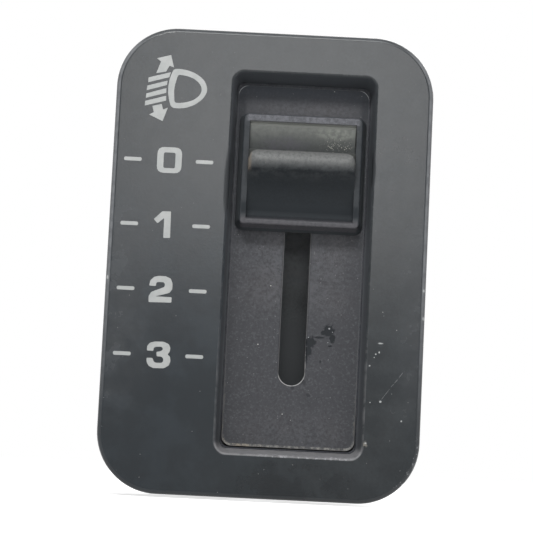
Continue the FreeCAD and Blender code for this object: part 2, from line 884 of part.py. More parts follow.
def rear_cover():
    body = slab(0, 0, case_half_width, case_half_height, case_corner, case_back_y, cover_back_y)
    body = body.makeFillet(0.4, edges_at_y(body, cover_back_y))
    joint = case_back_y + 0.2
    inner_w = room_half_width - cover_fit
    inner_h = room_half_height - cover_fit
    lip = slab(0, 0, inner_w, inner_h, 0.5, case_back_y - cover_lip, joint)
    lip = lip.cut(
        slab(
            0, 0, inner_w - cover_lip_wall, inner_h - cover_lip_wall, 0.4,
            case_back_y - 2 * cover_lip, joint,
        )
    )
    solids = [lip]
    for x, z in screw_places:
        solids.append(rod(x, z, post_diameter, board_back_y, joint))
    half_w = socket_half_width
    half_h = socket_half_height
    root = cover_back_y - 0.2
    solids.append(
        slab(0, socket_z, half_w + socket_wall, half_h + socket_wall, 1.6, root, socket_back_y)
    )
    latch_y = cover_back_y + socket_depth * 0.3
    solids.append(latch(latch_y))
    ring_x = lamp_x + 0.4
    ring_half = access_diameter / 2 + 0.7
    solids.append(
        slab(ring_x, lamp_z, ring_half, ring_half + 0.9, ring_half - 0.2, root, cover_back_y + 1.4)
    )
    body = body.fuse(solids)
    front = board_front_y
    cuts = [slab(0, socket_z, half_w, half_h, 0.5, cover_back_y, socket_back_y + cover_wall)]
    fit = terminal_fit
    for x in terminal_places():
        half = terminal_width / 2 + fit
        t = terminal_thick / 2 + fit
        cuts.append(box(x - half, x + half, front, socket_back_y, socket_z - t, socket_z + t))
    for x, z in screw_places:
        cuts.append(rod(x, z, screw_diameter + 2 * screw_clear, front, socket_back_y))
    cuts.append(rod(lamp_x, lamp_z, access_diameter, front, socket_back_y))
    body = body.cut(cuts)
    rib = box(
        -0.5, 0.5, cover_back_y, socket_back_y - 1.0,
        socket_z + half_h - 0.9, socket_z + half_h + 0.2,
    )
    return body.fuse(rib).removeSplitter()


def latch(y):
    # wedge on the socket that the plug's latch snaps behind
    z = socket_z + socket_half_height + socket_wall
    half = latch_width / 2
    ring = [
        V(-half, y, z - 0.2), V(-half, y, z + 1.2), V(-half, y + 0.6, z + 1.2),
        V(-half, y + 2.6, z), V(-half, y + 2.6, z - 0.2), V(-half, y, z - 0.2),
    ]
    return Part.Face(Part.makePolygon(ring)).extrude(V(latch_width, 0, 0))


def cover_screws():
    parts = []
    r = screw_diameter / 2
    head = screw_head_diameter / 2
    seat = cover_back_y
    tip = board_front_y - screw_grip
    top = seat + screw_head_height
    rim = seat + screw_head_height / 2
    for x, z in screw_places:
        points = [
            V(0, tip, 0), V(r / 3, tip, 0), V(r, tip + 1.8, 0), V(r, seat, 0),
            V(head, seat, 0), V(head, rim, 0),
        ]
        edges = []
        for a, b in zip(points, points[1:]):
            edges.append(Part.LineSegment(a, b).toShape())
        shoulder = V(head * 0.72, seat + screw_head_height * 0.853, 0)
        edges.append(Part.Arc(points[-1], shoulder, V(0, top, 0)).toShape())
        edges.append(Part.LineSegment(V(0, top, 0), points[0]).toShape())
        body = Part.Face(Part.Wire(edges)).revolve(V(0, 0, 0), V(0, 1, 0), 360)
        deep = top - screw_head_height * 0.63
        arm = head * 0.56
        half = head * 0.12
        wing = box(-arm, arm, deep, top + 1, -half, half)
        cross = box(-half, half, deep, top + 1, -arm, arm)
        body = body.cut([wing, cross])
        body.translate(V(x, 0, z))
        parts.append(body)
    return Part.makeCompound(parts)


def light_guide():
    inset = skirt_wall + guide_side_gap
    left = inset - plate_width / 2
    right = well_x - window_half_width - collar_wall - 0.2
    low = guide_low_z
    high = guide_high_z
    front = face_back_y + guide_air
    body = slab(
        (right + left) / 2, (low + high) / 2, (right - left) / 2, (high - low) / 2, 1.0,
        front, case_front_y,
    )
    corner = slab(
        0, 0, plate_width / 2 - inset, plate_height / 2 - inset, plate_corner - inset,
        face_y, plate_depth,
    )
    body = body.common(corner)
    pegs = []
    for z in peg_rows:
        pegs.append(rod(peg_x, z, guide_peg, case_front_y - 0.2, case_inner_y - 0.2))
    body = body.fuse(pegs)
    dimple = rod(lamp_x, lamp_z, light_hole - 0.8, lamp_tip_y - 1.0, plate_depth)
    return body.cut(dimple).removeSplitter()


def lamp_holder():
    gap = contact_thick
    back = board_back_y
    body = rod(lamp_x, lamp_z, holder_diameter, holder_front_y, back)
    flange = rod(lamp_x, lamp_z, flange_diameter, back + gap, back + gap + flange_thick)
    neck = rod(lamp_x, lamp_z, holder_diameter, back, back + gap + 0.2)
    wing = flange_diameter * 0.4
    grip = box(lamp_x - wing, lamp_x + wing, back + flange_thick, grip_end_y, lamp_z - 1.2, lamp_z + 1.2)
    parts = [flange, neck, grip]
    for side in (0, 1):
        ear = box(
            holder_diameter / 2 - 0.5, flange_diameter / 2 - 0.55,
            board_front_y - 1.0, board_front_y - 0.04, -contact_width / 2, contact_width / 2,
        )
        ear.rotate(V(0, 0, 0), V(0, 1, 0), 60 + 180 * side)
        ear.translate(V(lamp_x, 0, lamp_z))
        parts.append(ear)
    body = body.fuse(parts)
    front = holder_front_y - gap
    half = contact_width / 2 + holder_fit
    cuts = [rod(lamp_x, lamp_z, lamp_diameter + 4 * holder_fit, front, back)]
    for side in (-1, 1):
        x = sorted((lamp_x + side * 1.2, lamp_x + side * 2.35))
        cuts.append(box(x[0], x[1], front, back + gap, lamp_z - half, lamp_z + half))
        x = sorted((lamp_x + side * 2.0, lamp_x + side * (flange_diameter / 2 + 0.2)))
        cuts.append(box(x[0], x[1], back, back + gap, lamp_z - half, lamp_z + half))
    return body.cut(cuts).removeSplitter()


def lamp_contacts():
    # two bent strips: a tongue on the board's pads and a leg beside the lamp's foot
    parts = []
    thick = contact_thick - 0.03
    half = contact_width / 2
    back = board_back_y
    for side in (-1, 1):
        inner = lamp_x + side * 1.93
        x = sorted((inner, inner + side * thick))
        leg = box(x[0], x[1], lamp_foot_y, back + thick, lamp_z - half, lamp_z + half)
        x = sorted((inner, lamp_x + side * (flange_diameter / 2 - 0.2)))
        tongue = box(x[0], x[1], back, back + thick, lamp_z - half, lamp_z + half)
        parts.append(fuse(leg, [tongue]))
    return Part.makeCompound(parts)


def lamp_glass():
    # bulb with a domed tip on a flat pinched foot
    r = lamp_diameter / 2
    foot = lamp_foot_y

    def blank(radius, start, end):
        k = radius * (1 - math.sqrt(0.5))
        edges = [
            Part.Arc(V(0, start, 0), V(radius - k, start + k, 0), V(radius, start + radius, 0)).toShape(),
            Part.LineSegment(V(radius, start + radius, 0), V(radius, end, 0)).toShape(),
            Part.LineSegment(V(radius, end, 0), V(0, end, 0)).toShape(),
            Part.LineSegment(V(0, end, 0), V(0, start, 0)).toShape(),
        ]
        return Part.Face(Part.Wire(edges)).revolve(V(0, 0, 0), V(0, 1, 0), 360)

    body = blank(r, lamp_tip_y, foot + lamp_wall)
    body = body.cut(blank(r - lamp_wall, lamp_tip_y + lamp_wall, foot))
    pinch = slab(0, 0, r - 0.2, contact_width / 2 + 0.05, 0.4, foot, lamp_end_y)
    body = fuse(body, [pinch])
    for side in (-1, 1):
        body = body.cut(rod(side * 0.9, 0, 0.34, foot - 1, lamp_end_y + 1))
    body.translate(V(lamp_x, 0, lamp_z))
    return body


def lamp_filament():
    radius = 0.16
    pitch = 0.11
    length = 1.6
    helix = Part.makeLongHelix(pitch, length, radius, 0, False)
    wire = Part.Wire(helix.Edges)
    ring = Part.Wire(Part.makeCircle(0.03, V(radius, 0, 0), V(0, 1, 0)))
    coil = wire.makePipeShell([ring], True, True)
    coil.translate(V(0, 0, -length / 2))
    coil.rotate(V(0, 0, 0), V(0, 1, 0), 90)
    coil.translate(V(lamp_x, lamp_tip_y + 2.8, lamp_z))
    return coil


def lamp_leads():
    # two wires up from the pinched foot, each folded back along it to its contact
    parts = []
    turn_y = lamp_end_y + 0.1
    r = 0.425
    for side in (-1, 1):
        x0 = lamp_x + side * 0.9
        x1 = x0 + side * 2 * r
        start = V(x0, lamp_tip_y + 2.6, lamp_z)
        middle = V(x0 + side * r, turn_y + r, lamp_z)
        edges = [
            Part.LineSegment(start, V(x0, turn_y, lamp_z)).toShape(),
            Part.Arc(V(x0, turn_y, lamp_z), middle, V(x1, turn_y, lamp_z)).toShape(),
            Part.LineSegment(V(x1, turn_y, lamp_z), V(x1, lamp_foot_y + 1.0, lamp_z)).toShape(),
        ]
        ring = Part.Wire(Part.makeCircle(0.16, start, V(0, 1, 0)))
        parts.append(Part.Wire(edges).makePipeShell([ring], True, True))
    return Part.makeCompound(parts)


def panel_clip(side):
    # sprung strip: a foot held under the case's rails and a leg that snaps behind the panel
    foot = case_half_height + clip_fit
    points = [(clip_front_y, foot), (clip_rear_y, foot)]
    points += bend(clip_rear_y, foot + clip_bend, clip_bend, -90, 90, 8)[1:]
    leg_rise = clip_rise
    points += [
        (clip_front_y + clip_width * 0.325, case_half_height + leg_rise),
        (clip_front_y + clip_thick, case_half_height + leg_rise + 0.45),
        (clip_front_y - 4 * clip_thick, case_half_height + leg_rise / 2),
    ]
    base = strip(points[:8], clip_thick, -clip_width / 2, clip_width / 2)
    top = foot + clip_thick + 0.01
    reach = 2 * clip_rear_y
    base = base.cut(box(-clip_width, clip_width, 0, reach, top, top + plate_height))
    leg = strip(points, clip_thick, -clip_leg_width / 2, clip_leg_width / 2)
    body = fuse(base, [leg])
    return body.mirror(V(0, 0, 0), V(0, 0, 1)) if side < 0 else body


def build():
    places = terminal_places()
    nodes = {
        "faceplate": faceplate(),
        "housing": housing(),
        "rear_cover": rear_cover(),
        "cover_screws": cover_screws(),
        "knob": knob(),
        "carriage": carriage(),
        "detent_leaf": detent_leaf(),
        "wiper": wiper(),
        "contact_board": contact_board(),
        "common_track": common_track(),
        "step_pads": step_pads(),
        "ladder_resistors": ladder_resistors(),
        "solder_joints": solder_joints(),
        "supply_terminal": terminal(places[0]),
        "signal_terminal": terminal(places[1]),
        "lamp_terminal": terminal(places[2]),
        "ground_terminal": terminal(places[3]),
        "light_guide": light_guide(),
        "lamp_holder": lamp_holder(),
        "lamp_contacts": lamp_contacts(),
        "lamp_glass": lamp_glass(),
        "lamp_filament": lamp_filament(),
        "lamp_leads": lamp_leads(),
        "panel_clip_upper": panel_clip(1),
        "panel_clip_lower": panel_clip(-1),
    }
    os.makedirs("parts", exist_ok=True)
    for name, shape in nodes.items():
        if not shape.isValid():
            print("not valid:", name)
        print(name, len(shape.Solids), round(shape.Volume, 2))
        shape.exportStep("parts/" + name + ".step")


build()
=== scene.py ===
import math

import bmesh
import bpy
from mathutils import Matrix, Vector


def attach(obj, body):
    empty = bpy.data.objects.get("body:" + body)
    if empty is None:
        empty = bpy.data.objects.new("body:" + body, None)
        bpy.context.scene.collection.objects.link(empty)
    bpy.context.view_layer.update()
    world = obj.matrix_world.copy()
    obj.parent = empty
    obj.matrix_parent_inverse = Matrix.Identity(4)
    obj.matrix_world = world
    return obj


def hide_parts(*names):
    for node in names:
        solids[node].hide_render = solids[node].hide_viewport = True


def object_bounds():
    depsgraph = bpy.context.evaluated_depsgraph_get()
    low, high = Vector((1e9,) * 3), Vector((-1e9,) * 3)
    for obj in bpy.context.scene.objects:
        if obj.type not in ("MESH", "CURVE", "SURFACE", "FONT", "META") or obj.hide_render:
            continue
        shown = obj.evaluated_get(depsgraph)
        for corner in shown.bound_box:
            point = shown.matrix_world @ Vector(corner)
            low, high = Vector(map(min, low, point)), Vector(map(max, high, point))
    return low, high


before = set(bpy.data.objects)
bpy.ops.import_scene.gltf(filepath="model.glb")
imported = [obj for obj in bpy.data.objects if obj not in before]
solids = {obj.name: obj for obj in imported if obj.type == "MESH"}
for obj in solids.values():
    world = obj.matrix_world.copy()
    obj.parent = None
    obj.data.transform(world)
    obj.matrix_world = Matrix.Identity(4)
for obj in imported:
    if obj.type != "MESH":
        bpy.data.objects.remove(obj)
cad_low, cad_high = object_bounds()

# Case. A box moulded in one piece from black glass-filled nylon. Its front wall is the
# floor of the window, with the slot for the knob's stem; the faceplate snaps over it.
# The floor is fine-grained and dull, with grease beside the slot and dust in the corners.


def is_socket(value):
    return isinstance(value, bpy.types.NodeSocket)


def feed(node, sockets):
    # links a node's inputs, or sets them where the value is a plain one
    for key, value in sockets.items():
        if is_socket(value):
            node.id_data.links.new(value, node.inputs[key])
        else:
            node.inputs[key].default_value = value


def add(owner, kind, sockets=None, **settings):
    # a new node; owner is a node tree, or any socket in one
    made = owner.id_data.nodes.new(kind)
    for key, value in settings.items():
        setattr(made, key, value)
    feed(made, sockets or {})
    return made


def calc(operation, *values):
    owner = next(filter(is_socket, values))
    return add(owner, "ShaderNodeMath", dict(enumerate(values)), operation=operation).outputs[0]


def both(first, *others):
    for other in others:
        first = calc("MULTIPLY", first, other)
    return first


def most(first, *others):
    for other in others:
        first = calc("MAXIMUM", first, other)
    return first


def ramp(value, low, high, start_at=0.0, end_at=1.0):
    sockets = {"Value": value, "From Min": low, "From Max": high, "To Min": start_at, "To Max": end_at}
    return add(value, "ShaderNodeMapRange", sockets, interpolation_type="SMOOTHSTEP").outputs["Result"]


def band(value, low, high, soft):
    rise = ramp(value, low - soft, low + soft)
    return both(rise, ramp(value, high - soft, high + soft, 1.0, 0.0))


def mix(share, *colours):
    first, second = (colour if is_socket(colour) else (*colour, 1.0) for colour in colours)
    owner = next(filter(is_socket, (share, first, second)))
    return add(owner, "ShaderNodeMix", {0: share, 6: first, 7: second}, data_type="RGBA").outputs[2]


def blend(share, first, second):
    return add(share, "ShaderNodeMix", {0: share, 2: first, 3: second}, data_type="FLOAT").outputs[0]


def stretched(place, scale):
    return add(place, "ShaderNodeMapping", {"Vector": place, "Scale": scale}).outputs["Vector"]


def start(name):
    # a new material, its shader, and the piece's own coordinates in millimetres
    paint = bpy.data.materials.new(name)
    paint.use_nodes = True
    place = add(paint.node_tree, "ShaderNodeTexCoord").outputs["Object"]
    return paint, paint.node_tree.nodes["Principled BSDF"], stretched(place, (1000, 1000, 1000))


def cloud(place, scale, detail=2.0, rough=0.5, turn=0.0):
    sockets = {"Vector": place, "Scale": scale, "Detail": detail, "Roughness": rough, "Distortion": turn}
    return add(place, "ShaderNodeTexNoise", sockets).outputs["Fac"]


def axes(place):
    return tuple(add(place, "ShaderNodeSeparateXYZ", {"Vector": place}).outputs)


def x_of(place):
    return axes(place)[0]


def y_of(place):
    return axes(place)[1]


def z_of(place):
    return axes(place)[2]


def length_of(first, second):
    return calc("SQRT", calc("ADD", calc("POWER", first, 2.0), calc("POWER", second, 2.0)))


def rounded_distance(place, centre, half, radius):
    # how far a point of the face is outside a rounded rectangle, negative inside it
    x, _, z = axes(place)
    over = []
    for value, middle, reach in ((x, centre[0], half[0]), (z, centre[1], half[1])):
        away = calc("ABSOLUTE", calc("SUBTRACT", value, middle))
        over.append(calc("SUBTRACT", away, reach - radius))
    corner = length_of(most(over[0], 0.0), most(over[1], 0.0))
    inner = calc("MINIMUM", most(*over), 0.0)
    return calc("SUBTRACT", calc("ADD", corner, inner), radius)


def patch(place, centre, half, soft=0.4, ragged=0.6, scale=1.2):
    # soft spot with a ragged edge, round centre (x, z) on the face
    x, _, z = axes(place)
    dx = calc("DIVIDE", calc("SUBTRACT", x, centre[0]), half[0])
    dz = calc("DIVIDE", calc("SUBTRACT", z, centre[1]), half[1])
    edge = calc("MULTIPLY_ADD", cloud(place, scale, 4.0, 0.65), ragged * 2, 1.0 - ragged)
    return ramp(calc("DIVIDE", length_of(dx, dz), edge), 1.0 - soft, 1.0 + soft, 1.0, 0.0)


def patches(place, spots, *looks):
    # several such spots, each a centre and a half size
    return most(*(patch(place, centre, half, *looks) for centre, half in spots))


def specks(place, pitch, radius, share, seed):
    # single dust grains: one in some of the cells
    shift = (seed, seed * 0.7, seed * 1.3)
    moved = add(place, "ShaderNodeVectorMath", {0: place, 1: shift}, operation="ADD")
    sockets = {"Vector": moved.outputs[0], "Scale": 1.0 / pitch, "Randomness": 1.0}
    cells = add(place, "ShaderNodeTexVoronoi", sockets).outputs
    pick = add(place, "ShaderNodeSeparateColor", {"Color": cells["Color"]}).outputs
    size = calc("MULTIPLY_ADD", pick["Green"], radius / pitch, radius * 0.5 / pitch)
    dot = calc("LESS_THAN", cells["Distance"], size)
    return both(dot, calc("GREATER_THAN", pick["Red"], 1.0 - share))


def finish(shader, place, shown, wear, relief, depth, marks):
    # marks laid one by one over the colour and the roughness, and a fine relief
    for mask, colour, rough in marks:
        share = mask(place)
        shown = mix(share, shown, colour)
        wear = blend(share, wear, rough)
    bump = add(place, "ShaderNodeBump", {"Height": relief, "Strength": 1.0, "Distance": depth * 0.001})
    feed(shader, {"Base Color": shown, "Roughness": wear, "Normal": bump.outputs["Normal"]})


def moulded(name, colour, rough, specular=0.5, grain=3.2, depth=0.012, patchy=0.14, marks=()):
    # dull moulded plastic: cloudy colour, fine grain and marks
    paint, shader, place = start(name)
    broad = cloud(place, 0.09, 3.0, 0.6)
    fine = cloud(place, grain, 3.0, 0.65)
    tints = (1.0 + patchy, 1.0, 1.0 - patchy * 0.6)
    warm = [c * tint * (1 + patchy) for c, tint in zip(colour, tints)]
    cool, dull, bright = ([c * share for c in colour] for share in (1 - patchy, 0.72, 1.35))
    shown = mix(ramp(broad, 0.3, 0.7), cool, warm)
    shown = mix(0.5, shown, mix(ramp(fine, 0.32, 0.68), dull, bright))
    wear = calc("MULTIPLY_ADD", cloud(place, 0.5, 4.0, 0.6), 0.16, rough - 0.08)
    finish(shader, place, shown, wear, fine, depth, marks)
    shader.inputs["Specular IOR Level"].default_value = specular
    return paint


def dress(paint, *nodes):
    for node in nodes:
        solids[node].data.materials.clear()
        solids[node].data.materials.append(paint)


floor_centre = (4.0, 0.14)
floor_half = (8.97, 24.7)
slide_x = 4.05
slot_half = (1.75, 16.08)


def floor_edge(place, corner=1.5):
    return rounded_distance(place, floor_centre, floor_half, corner)


def on_floor(place):
    # the floor of the window, not the inside of the case
    return ramp(y_of(place), 0.3, 0.45, 1.0, 0.0)


def floor_rim(place):
    edge = floor_edge(place)
    worn = ramp(cloud(place, 0.7, 3.0), 0.3, 0.6, 0.2, 0.8)
    low = ramp(z_of(place), -20.0, -2.0)
    return both(band(edge, -0.1, 0.1, 0.05), worn, calc("SUBTRACT", 1.0, low))


def slot_rim(place):
    edge = rounded_distance(place, (slide_x, 0.0), slot_half, slot_half[0] - 0.001)
    x, _, z = axes(place)
    broken = ramp(cloud(place, 1.3, 3.0), 0.4, 0.55, 0.3, 0.75)
    right = both(ramp(x, 5.0, 5.5), band(z, -16.0, -8.8, 0.5), broken)
    side = most(ramp(z, -15.2, -14.4, 1.0, 0.2), right)
    return both(band(edge, -0.02, 0.12, 0.04), on_floor(place), side)


def corner_dust(place):
    # pale dust that has settled along the floor's lower edge and in its two corners
    edge = floor_edge(place, 1.3)
    low = ramp(z_of(place), -22.9, -24.0)
    broken = ramp(cloud(place, 2.3, 5.0, 0.8), 0.42, 0.64, 0.1, 1.0)
    return both(band(edge, -0.3, 0.03, 0.09), low, broken)


def sandy_dust(place):
    brown = ramp(cloud(place, 0.6, 3.0), 0.38, 0.6, 0.2, 0.8)
    left = ramp(x_of(place), -2.8, 1.5, 1.0, 0.15)
    return both(corner_dust(place), brown, left)


def side_dust(place):
    x, _, z = axes(place)
    sides = most(band(x, -5.0, -4.72, 0.05), band(x, 12.7, 12.98, 0.05))
    low = ramp(z, -24.0, -8.0, 1.0, 0.0)
    broken = ramp(cloud(place, 1.1, 4.0, 0.7), 0.48, 0.62)
    return both(sides, low, broken)


def grease(place):
    spots = (
        ((8.85, -8.5), (0.75, 0.85)), ((8.2, -8.7), (0.42, 0.38)), ((9.35, -9.4), (0.42, 0.65)),
        ((7.5, -9.4), (0.7, 0.15)), ((6.4, -10.1), (0.75, 0.75)), ((6.2, -11.2), (0.42, 0.9)),
        ((6.0, -12.4), (0.18, 0.8)), ((9.1, -10.5), (0.25, 0.12)), ((7.9, -12.7), (0.14, 0.2)),
        ((5.72, -15.6), (0.34, 0.36)), ((4.3, -16.35), (0.22, 0.26)), ((6.45, -17.3), (0.3, 0.22)),
    )
    dried = ramp(z_of(place), -13.2, -12.2, 0.5, 1.0)
    return both(patches(place, spots, 0.22, 1.0, 3.2), on_floor(place), dried)


def grease_painted_glint(place):
    # painted glints: a few pale spots on the thick drop of grease
    spots = (
        ((8.91, -8.14), (0.12, 0.11)), ((9.36, -8.6), (0.05, 0.05)), ((8.81, -10.05), (0.06, 0.05)),
        ((6.15, -9.45), (0.08, 0.05)),
    )
    return both(patches(place, spots, 0.4, 0.5, 3.0), on_floor(place))


def off_floor(place):
    # the outside and the inside of the case, which no dust has paled
    return ramp(y_of(place), 0.8, 1.3, 0.0, 0.75)


def darker_middle(place):
    # the floor is darker across its middle than at its two ends
    x, _, z = axes(place)
    return both(band(z, -20.6, -6.0, 2.5), on_floor(place), ramp(x, 14.0, 4.0, 0.95, 0.8))


def side_painted_shade(place):
    # painted shade: towards both sides the floor is painted darker, most beside the knob, where the walls
    # and the knob shade it
    x = x_of(place)
    left = ramp(x, 1.5, -4.6, 0.0, 0.75)
    right = ramp(x, 9.0, 12.8, 0.0, 0.75)
    return both(most(left, right), on_floor(place))


def knob_lane_painted_shadow(place):
    # painted shadow: the narrow strips of floor beside the knob are painted dark, from just below it
    # upward, where the knob shades them
    away = calc("ABSOLUTE", calc("SUBTRACT", x_of(place), slide_x))
    return both(ramp(away, 7.6, 8.3), ramp(z_of(place), 2.0, 7.0, 0.0, 0.8), on_floor(place))


def pale_grain(place):
    grains = ramp(cloud(place, 3.3, 2.0, 0.6), 0.5, 0.68, 0.0, 0.42)
    return both(grains, on_floor(place), ramp(z_of(place), 18.0, 21.5, 1.0, 0.3))


def dark_grain(place):
    grains = ramp(cloud(place, 2.7, 2.0, 0.6), 0.5, 0.34, 0.0, 0.42)
    return both(grains, on_floor(place), ramp(z_of(place), 18.0, 21.5, 1.0, 0.4))


def top_painted_shadow(place):
    # painted shadow: the floor is painted darker in the corner under the window's upper edge, where that
    # edge shades it
    return both(ramp(z_of(place), 21.8, 24.2), on_floor(place))


def crevice_fluff_and_light(place):
    # pale fluff and painted light in the thin gap between the floor's edge and the faceplate, which lifts
    # the gap's shade
    edge = floor_edge(place)
    return both(ramp(edge, -0.04, 0.04), ramp(y_of(place), 1.6, 2.2, 1.0, 0.0))


def slot_grime(place):
    return both(ramp(y_of(place), 0.35, 0.9), ramp(z_of(place), -16.5, -9.0, 0.8, 0.1))


def floor_specks(place):
    return both(specks(place, 1.25, 0.055, 0.24, 3.0), on_floor(place))


def floor_lint(place):
    return both(specks(place, 0.5, 0.05, 0.17, 8.0), on_floor(place))


case_paint = moulded(
    "case_nylon", (0.0585, 0.0605, 0.0665), 0.6, 0.12, 2.6, 0.02, 0.08,
    [
        (darker_middle, (0.045, 0.0465, 0.0515), 0.6),
        (side_painted_shade, (0.042, 0.0435, 0.048), 0.6),
        (knob_lane_painted_shadow, (0.022, 0.024, 0.028), 0.6),
        (top_painted_shadow, (0.034, 0.038, 0.045), 0.6),
        (pale_grain, (0.088, 0.09, 0.097), 0.6),
        (dark_grain, (0.034, 0.035, 0.038), 0.55),
        (crevice_fluff_and_light, (0.3, 0.31, 0.32), 0.7),
        (off_floor, (0.024, 0.024, 0.027), 0.5),
        (slot_grime, (0.036, 0.035, 0.036), 0.7),
        (floor_lint, (0.17, 0.17, 0.175), 0.8),
        (floor_specks, (0.42, 0.42, 0.4), 0.8),
        (floor_rim, (0.088, 0.088, 0.09), 0.5),
        (slot_rim, (0.36, 0.362, 0.36), 0.5),
        (grease, (0.011, 0.013, 0.0155), 0.42),
        (grease_painted_glint, (0.28, 0.29, 0.3), 0.4),
        (side_dust, (0.095, 0.094, 0.09), 0.85),
        (corner_dust, (0.25, 0.25, 0.238), 0.9),
        (sandy_dust, (0.27, 0.225, 0.165), 0.9),
    ],
)
dress(case_paint, "housing")

# Packed dust. Grey fluff has filled the thin gap between the floor's edge and the walls of
# the window, above and at the sides; along the lower edge it only clings to the wall and
# the gap has stayed open.

floor_level = 0.2
gap_foot = 0.75
gap_inner = (8.955, 24.67, 1.29)
gap_outer = (9.19, 25.05, 1.0)
gap_steps = 30
corner_steps = 9
open_from = -19.0
open_share = 0.55


def gap_outline(half_width, half_height, corner):
    # round the gap once, from the foot of the left side
    quarter = []
    straight = half_height - corner
    for step in range(gap_steps):
        quarter.append((half_width, straight * step / gap_steps))
    for step in range(corner_steps + 1):
        angle = math.pi / 2 * step / corner_steps
        out, rise = corner * math.cos(angle), corner * math.sin(angle)
        quarter.append((half_width - corner + out, straight + rise))
    for step in range(1, corner_steps + 1):
        quarter.append(((half_width - corner) * (1 - step / corner_steps), half_height))
    upper = quarter + [(-x, z) for x, z in reversed(quarter[:-1])]
    return upper + [(-x, -z) for x, z in upper[1:-1]]


def fluff(place):
    return ramp(cloud(place, 2.5, 5.0, 0.75), 0.4, 0.65)


def put_in_scene(name, data):
    piece = bpy.data.objects.new(name, data)
    bpy.context.scene.collection.objects.link(piece)
    return piece


def piece_from(name, cage, paint, smooth=None):
    mesh = bpy.data.meshes.new(name)
    cage.to_mesh(mesh)
    cage.free()
    mesh.materials.append(paint)
    piece = put_in_scene(name, mesh)
    if smooth is not None:
        mesh.polygons.foreach_set("use_smooth", [True] * len(mesh.polygons))
        mesh.set_sharp_from_angle(angle=math.radians(smooth))
    return piece


dust = bmesh.new()
rows = []
for number, (inner, outer) in enumerate(zip(gap_outline(*gap_inner), gap_outline(*gap_outer))):
    heap = 0.05 * math.sin(number * 2.1) + 0.04 * math.sin(number * 0.7)
    opened = min(max((open_from - outer[1]) / 4.0, 0.0), 1.0) * open_share
    inner = tuple(i + (o - i) * opened for i, o in zip(inner, outer))
    levels = (floor_level + 0.06, floor_level - 0.06 + heap, gap_foot, gap_foot)
    rows.append([
        dust.verts.new(((floor_centre[0] + x) / 1000, y / 1000, (floor_centre[1] + z) / 1000))
        for (x, z), y in zip((inner, outer, outer, inner), levels)
    ])
for first, last in zip(rows, rows[1:] + rows[:1]):
    for i in range(4):
        dust.faces.new((first[i], first[(i + 1) % 4], last[(i + 1) % 4], last[i]))
bmesh.ops.recalc_face_normals(dust, faces=dust.faces)
dust_paint = moulded(
    "packed_dust", (0.036, 0.039, 0.045), 0.9, 0.05, 3.0, 0.03, 0.1, [(fluff, (0.058, 0.06, 0.065), 0.95)],
)
dust_piece = piece_from("packed_dust", dust, dust_paint)
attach(dust_piece, "case")

# Rear cover. A satin nylon lid that closes the case, screwed on at three places, with the
# socket for the plug, the latch's wedge and a collar round the lamp's access hole. The
# ejector pins of the mould have left round witness marks on it.

pin_radius = 1.5


def pin_marks(place):
    pins = ((-12.0, 22.0), (12.5, 22.0), (12.6, 2.0), (-12.6, -12.0), (3.5, 10.0), (12.6, -12.5))
    half = (pin_radius, pin_radius)
    edges = (rounded_distance(place, pin, half, pin_radius - 0.001) for pin in pins)
    rings = most(*(band(edge, -0.12, 0.06, 0.05) for edge in edges))
    return both(rings, ramp(y_of(place), 19.7, 19.9))


def cover_dust(place):
    return specks(place, 1.7, 0.07, 0.14, 5.0)


def handling(place):
    return ramp(cloud(place, 0.22, 5.0, 0.7, 0.6), 0.52, 0.72, 0.0, 0.55)


cover_paint = moulded(
    "cover_nylon", (0.034, 0.034, 0.037), 0.48, 0.35, 4.0, 0.008, 0.1,
    [
        (handling, (0.05, 0.05, 0.052), 0.62),
        (pin_marks, (0.09, 0.09, 0.095), 0.35),
        (cover_dust, (0.3, 0.29, 0.27), 0.8),
    ],
)
dress(cover_paint, "rear_cover")

# Board. Resin-bonded paper, 1.6 mm, punched out of a sheet, that closes the slide's room.
# Its fibres run upright under a black solder lacquer, which is worn brown in places.


def board_lacquer(place):
    return ramp(cloud(place, 0.35, 4.0, 0.6), 0.35, 0.65, 0.0, 0.4)


def board_fibres(place):
    drawn = stretched(place, (4.0, 1.0, 0.35))
    return ramp(cloud(drawn, 2.0, 4.0, 0.7), 0.45, 0.7, 0.0, 0.6)


def board_powder(place):
    # rubbings of the slide lie on the lacquer where it rests most
    x, _, z = axes(place)
    worn = ramp(cloud(place, 0.9, 4.0, 0.6), 0.3, 0.6, 0.6, 1.0)
    return both(band(x, 1.8, 6.3, 0.4), ramp(z, -3.5, 5.0), worn)


def board_low_painted_shade(place):
    # painted shade: the board is painted darker below the knob's travel, where less light reaches it
    # through the slot
    return ramp(z_of(place), -4.0, -9.0, 0.0, 0.85)


board_paint = moulded(
    "paper_laminate", (0.054, 0.06, 0.064), 0.5, 0.2, 3.0, 0.004, 0.06,
    [
        (board_fibres, (0.07, 0.073, 0.074), 0.6),
        (board_lacquer, (0.036, 0.041, 0.044), 0.35),
        (board_low_painted_shade, (0.028, 0.031, 0.034), 0.5),
        (board_powder, (0.2, 0.21, 0.22), 0.6),
    ],
)
dress(board_paint, "contact_board")

# Tracks. One long copper strip and four copper pads, etched on the board and tinned thin.
# The wiper's two fingers have polished a bright lane down their middle.


def metal(name, colour, rough, brushed=(1.0, 1.0, 1.0), depth=0.004, marks=()):
    # bare or plated metal: fine drawn lines, cloudy tarnish and marks
    paint, shader, place = start(name)
    lines = cloud(stretched(place, brushed), 6.0, 3.0, 0.6)
    pale, dark = ([min(c * share, 1.0) for c in colour] for share in (1.1, 0.72))
    shown = mix(ramp(cloud(place, 0.6, 5.0, 0.65, 0.4), 0.3, 0.7), pale, dark)
    finish(shader, place, shown, calc("MULTIPLY_ADD", lines, 0.22, rough - 0.11), lines, depth, marks)
    shader.inputs["Metallic"].default_value = 1.0
    return paint


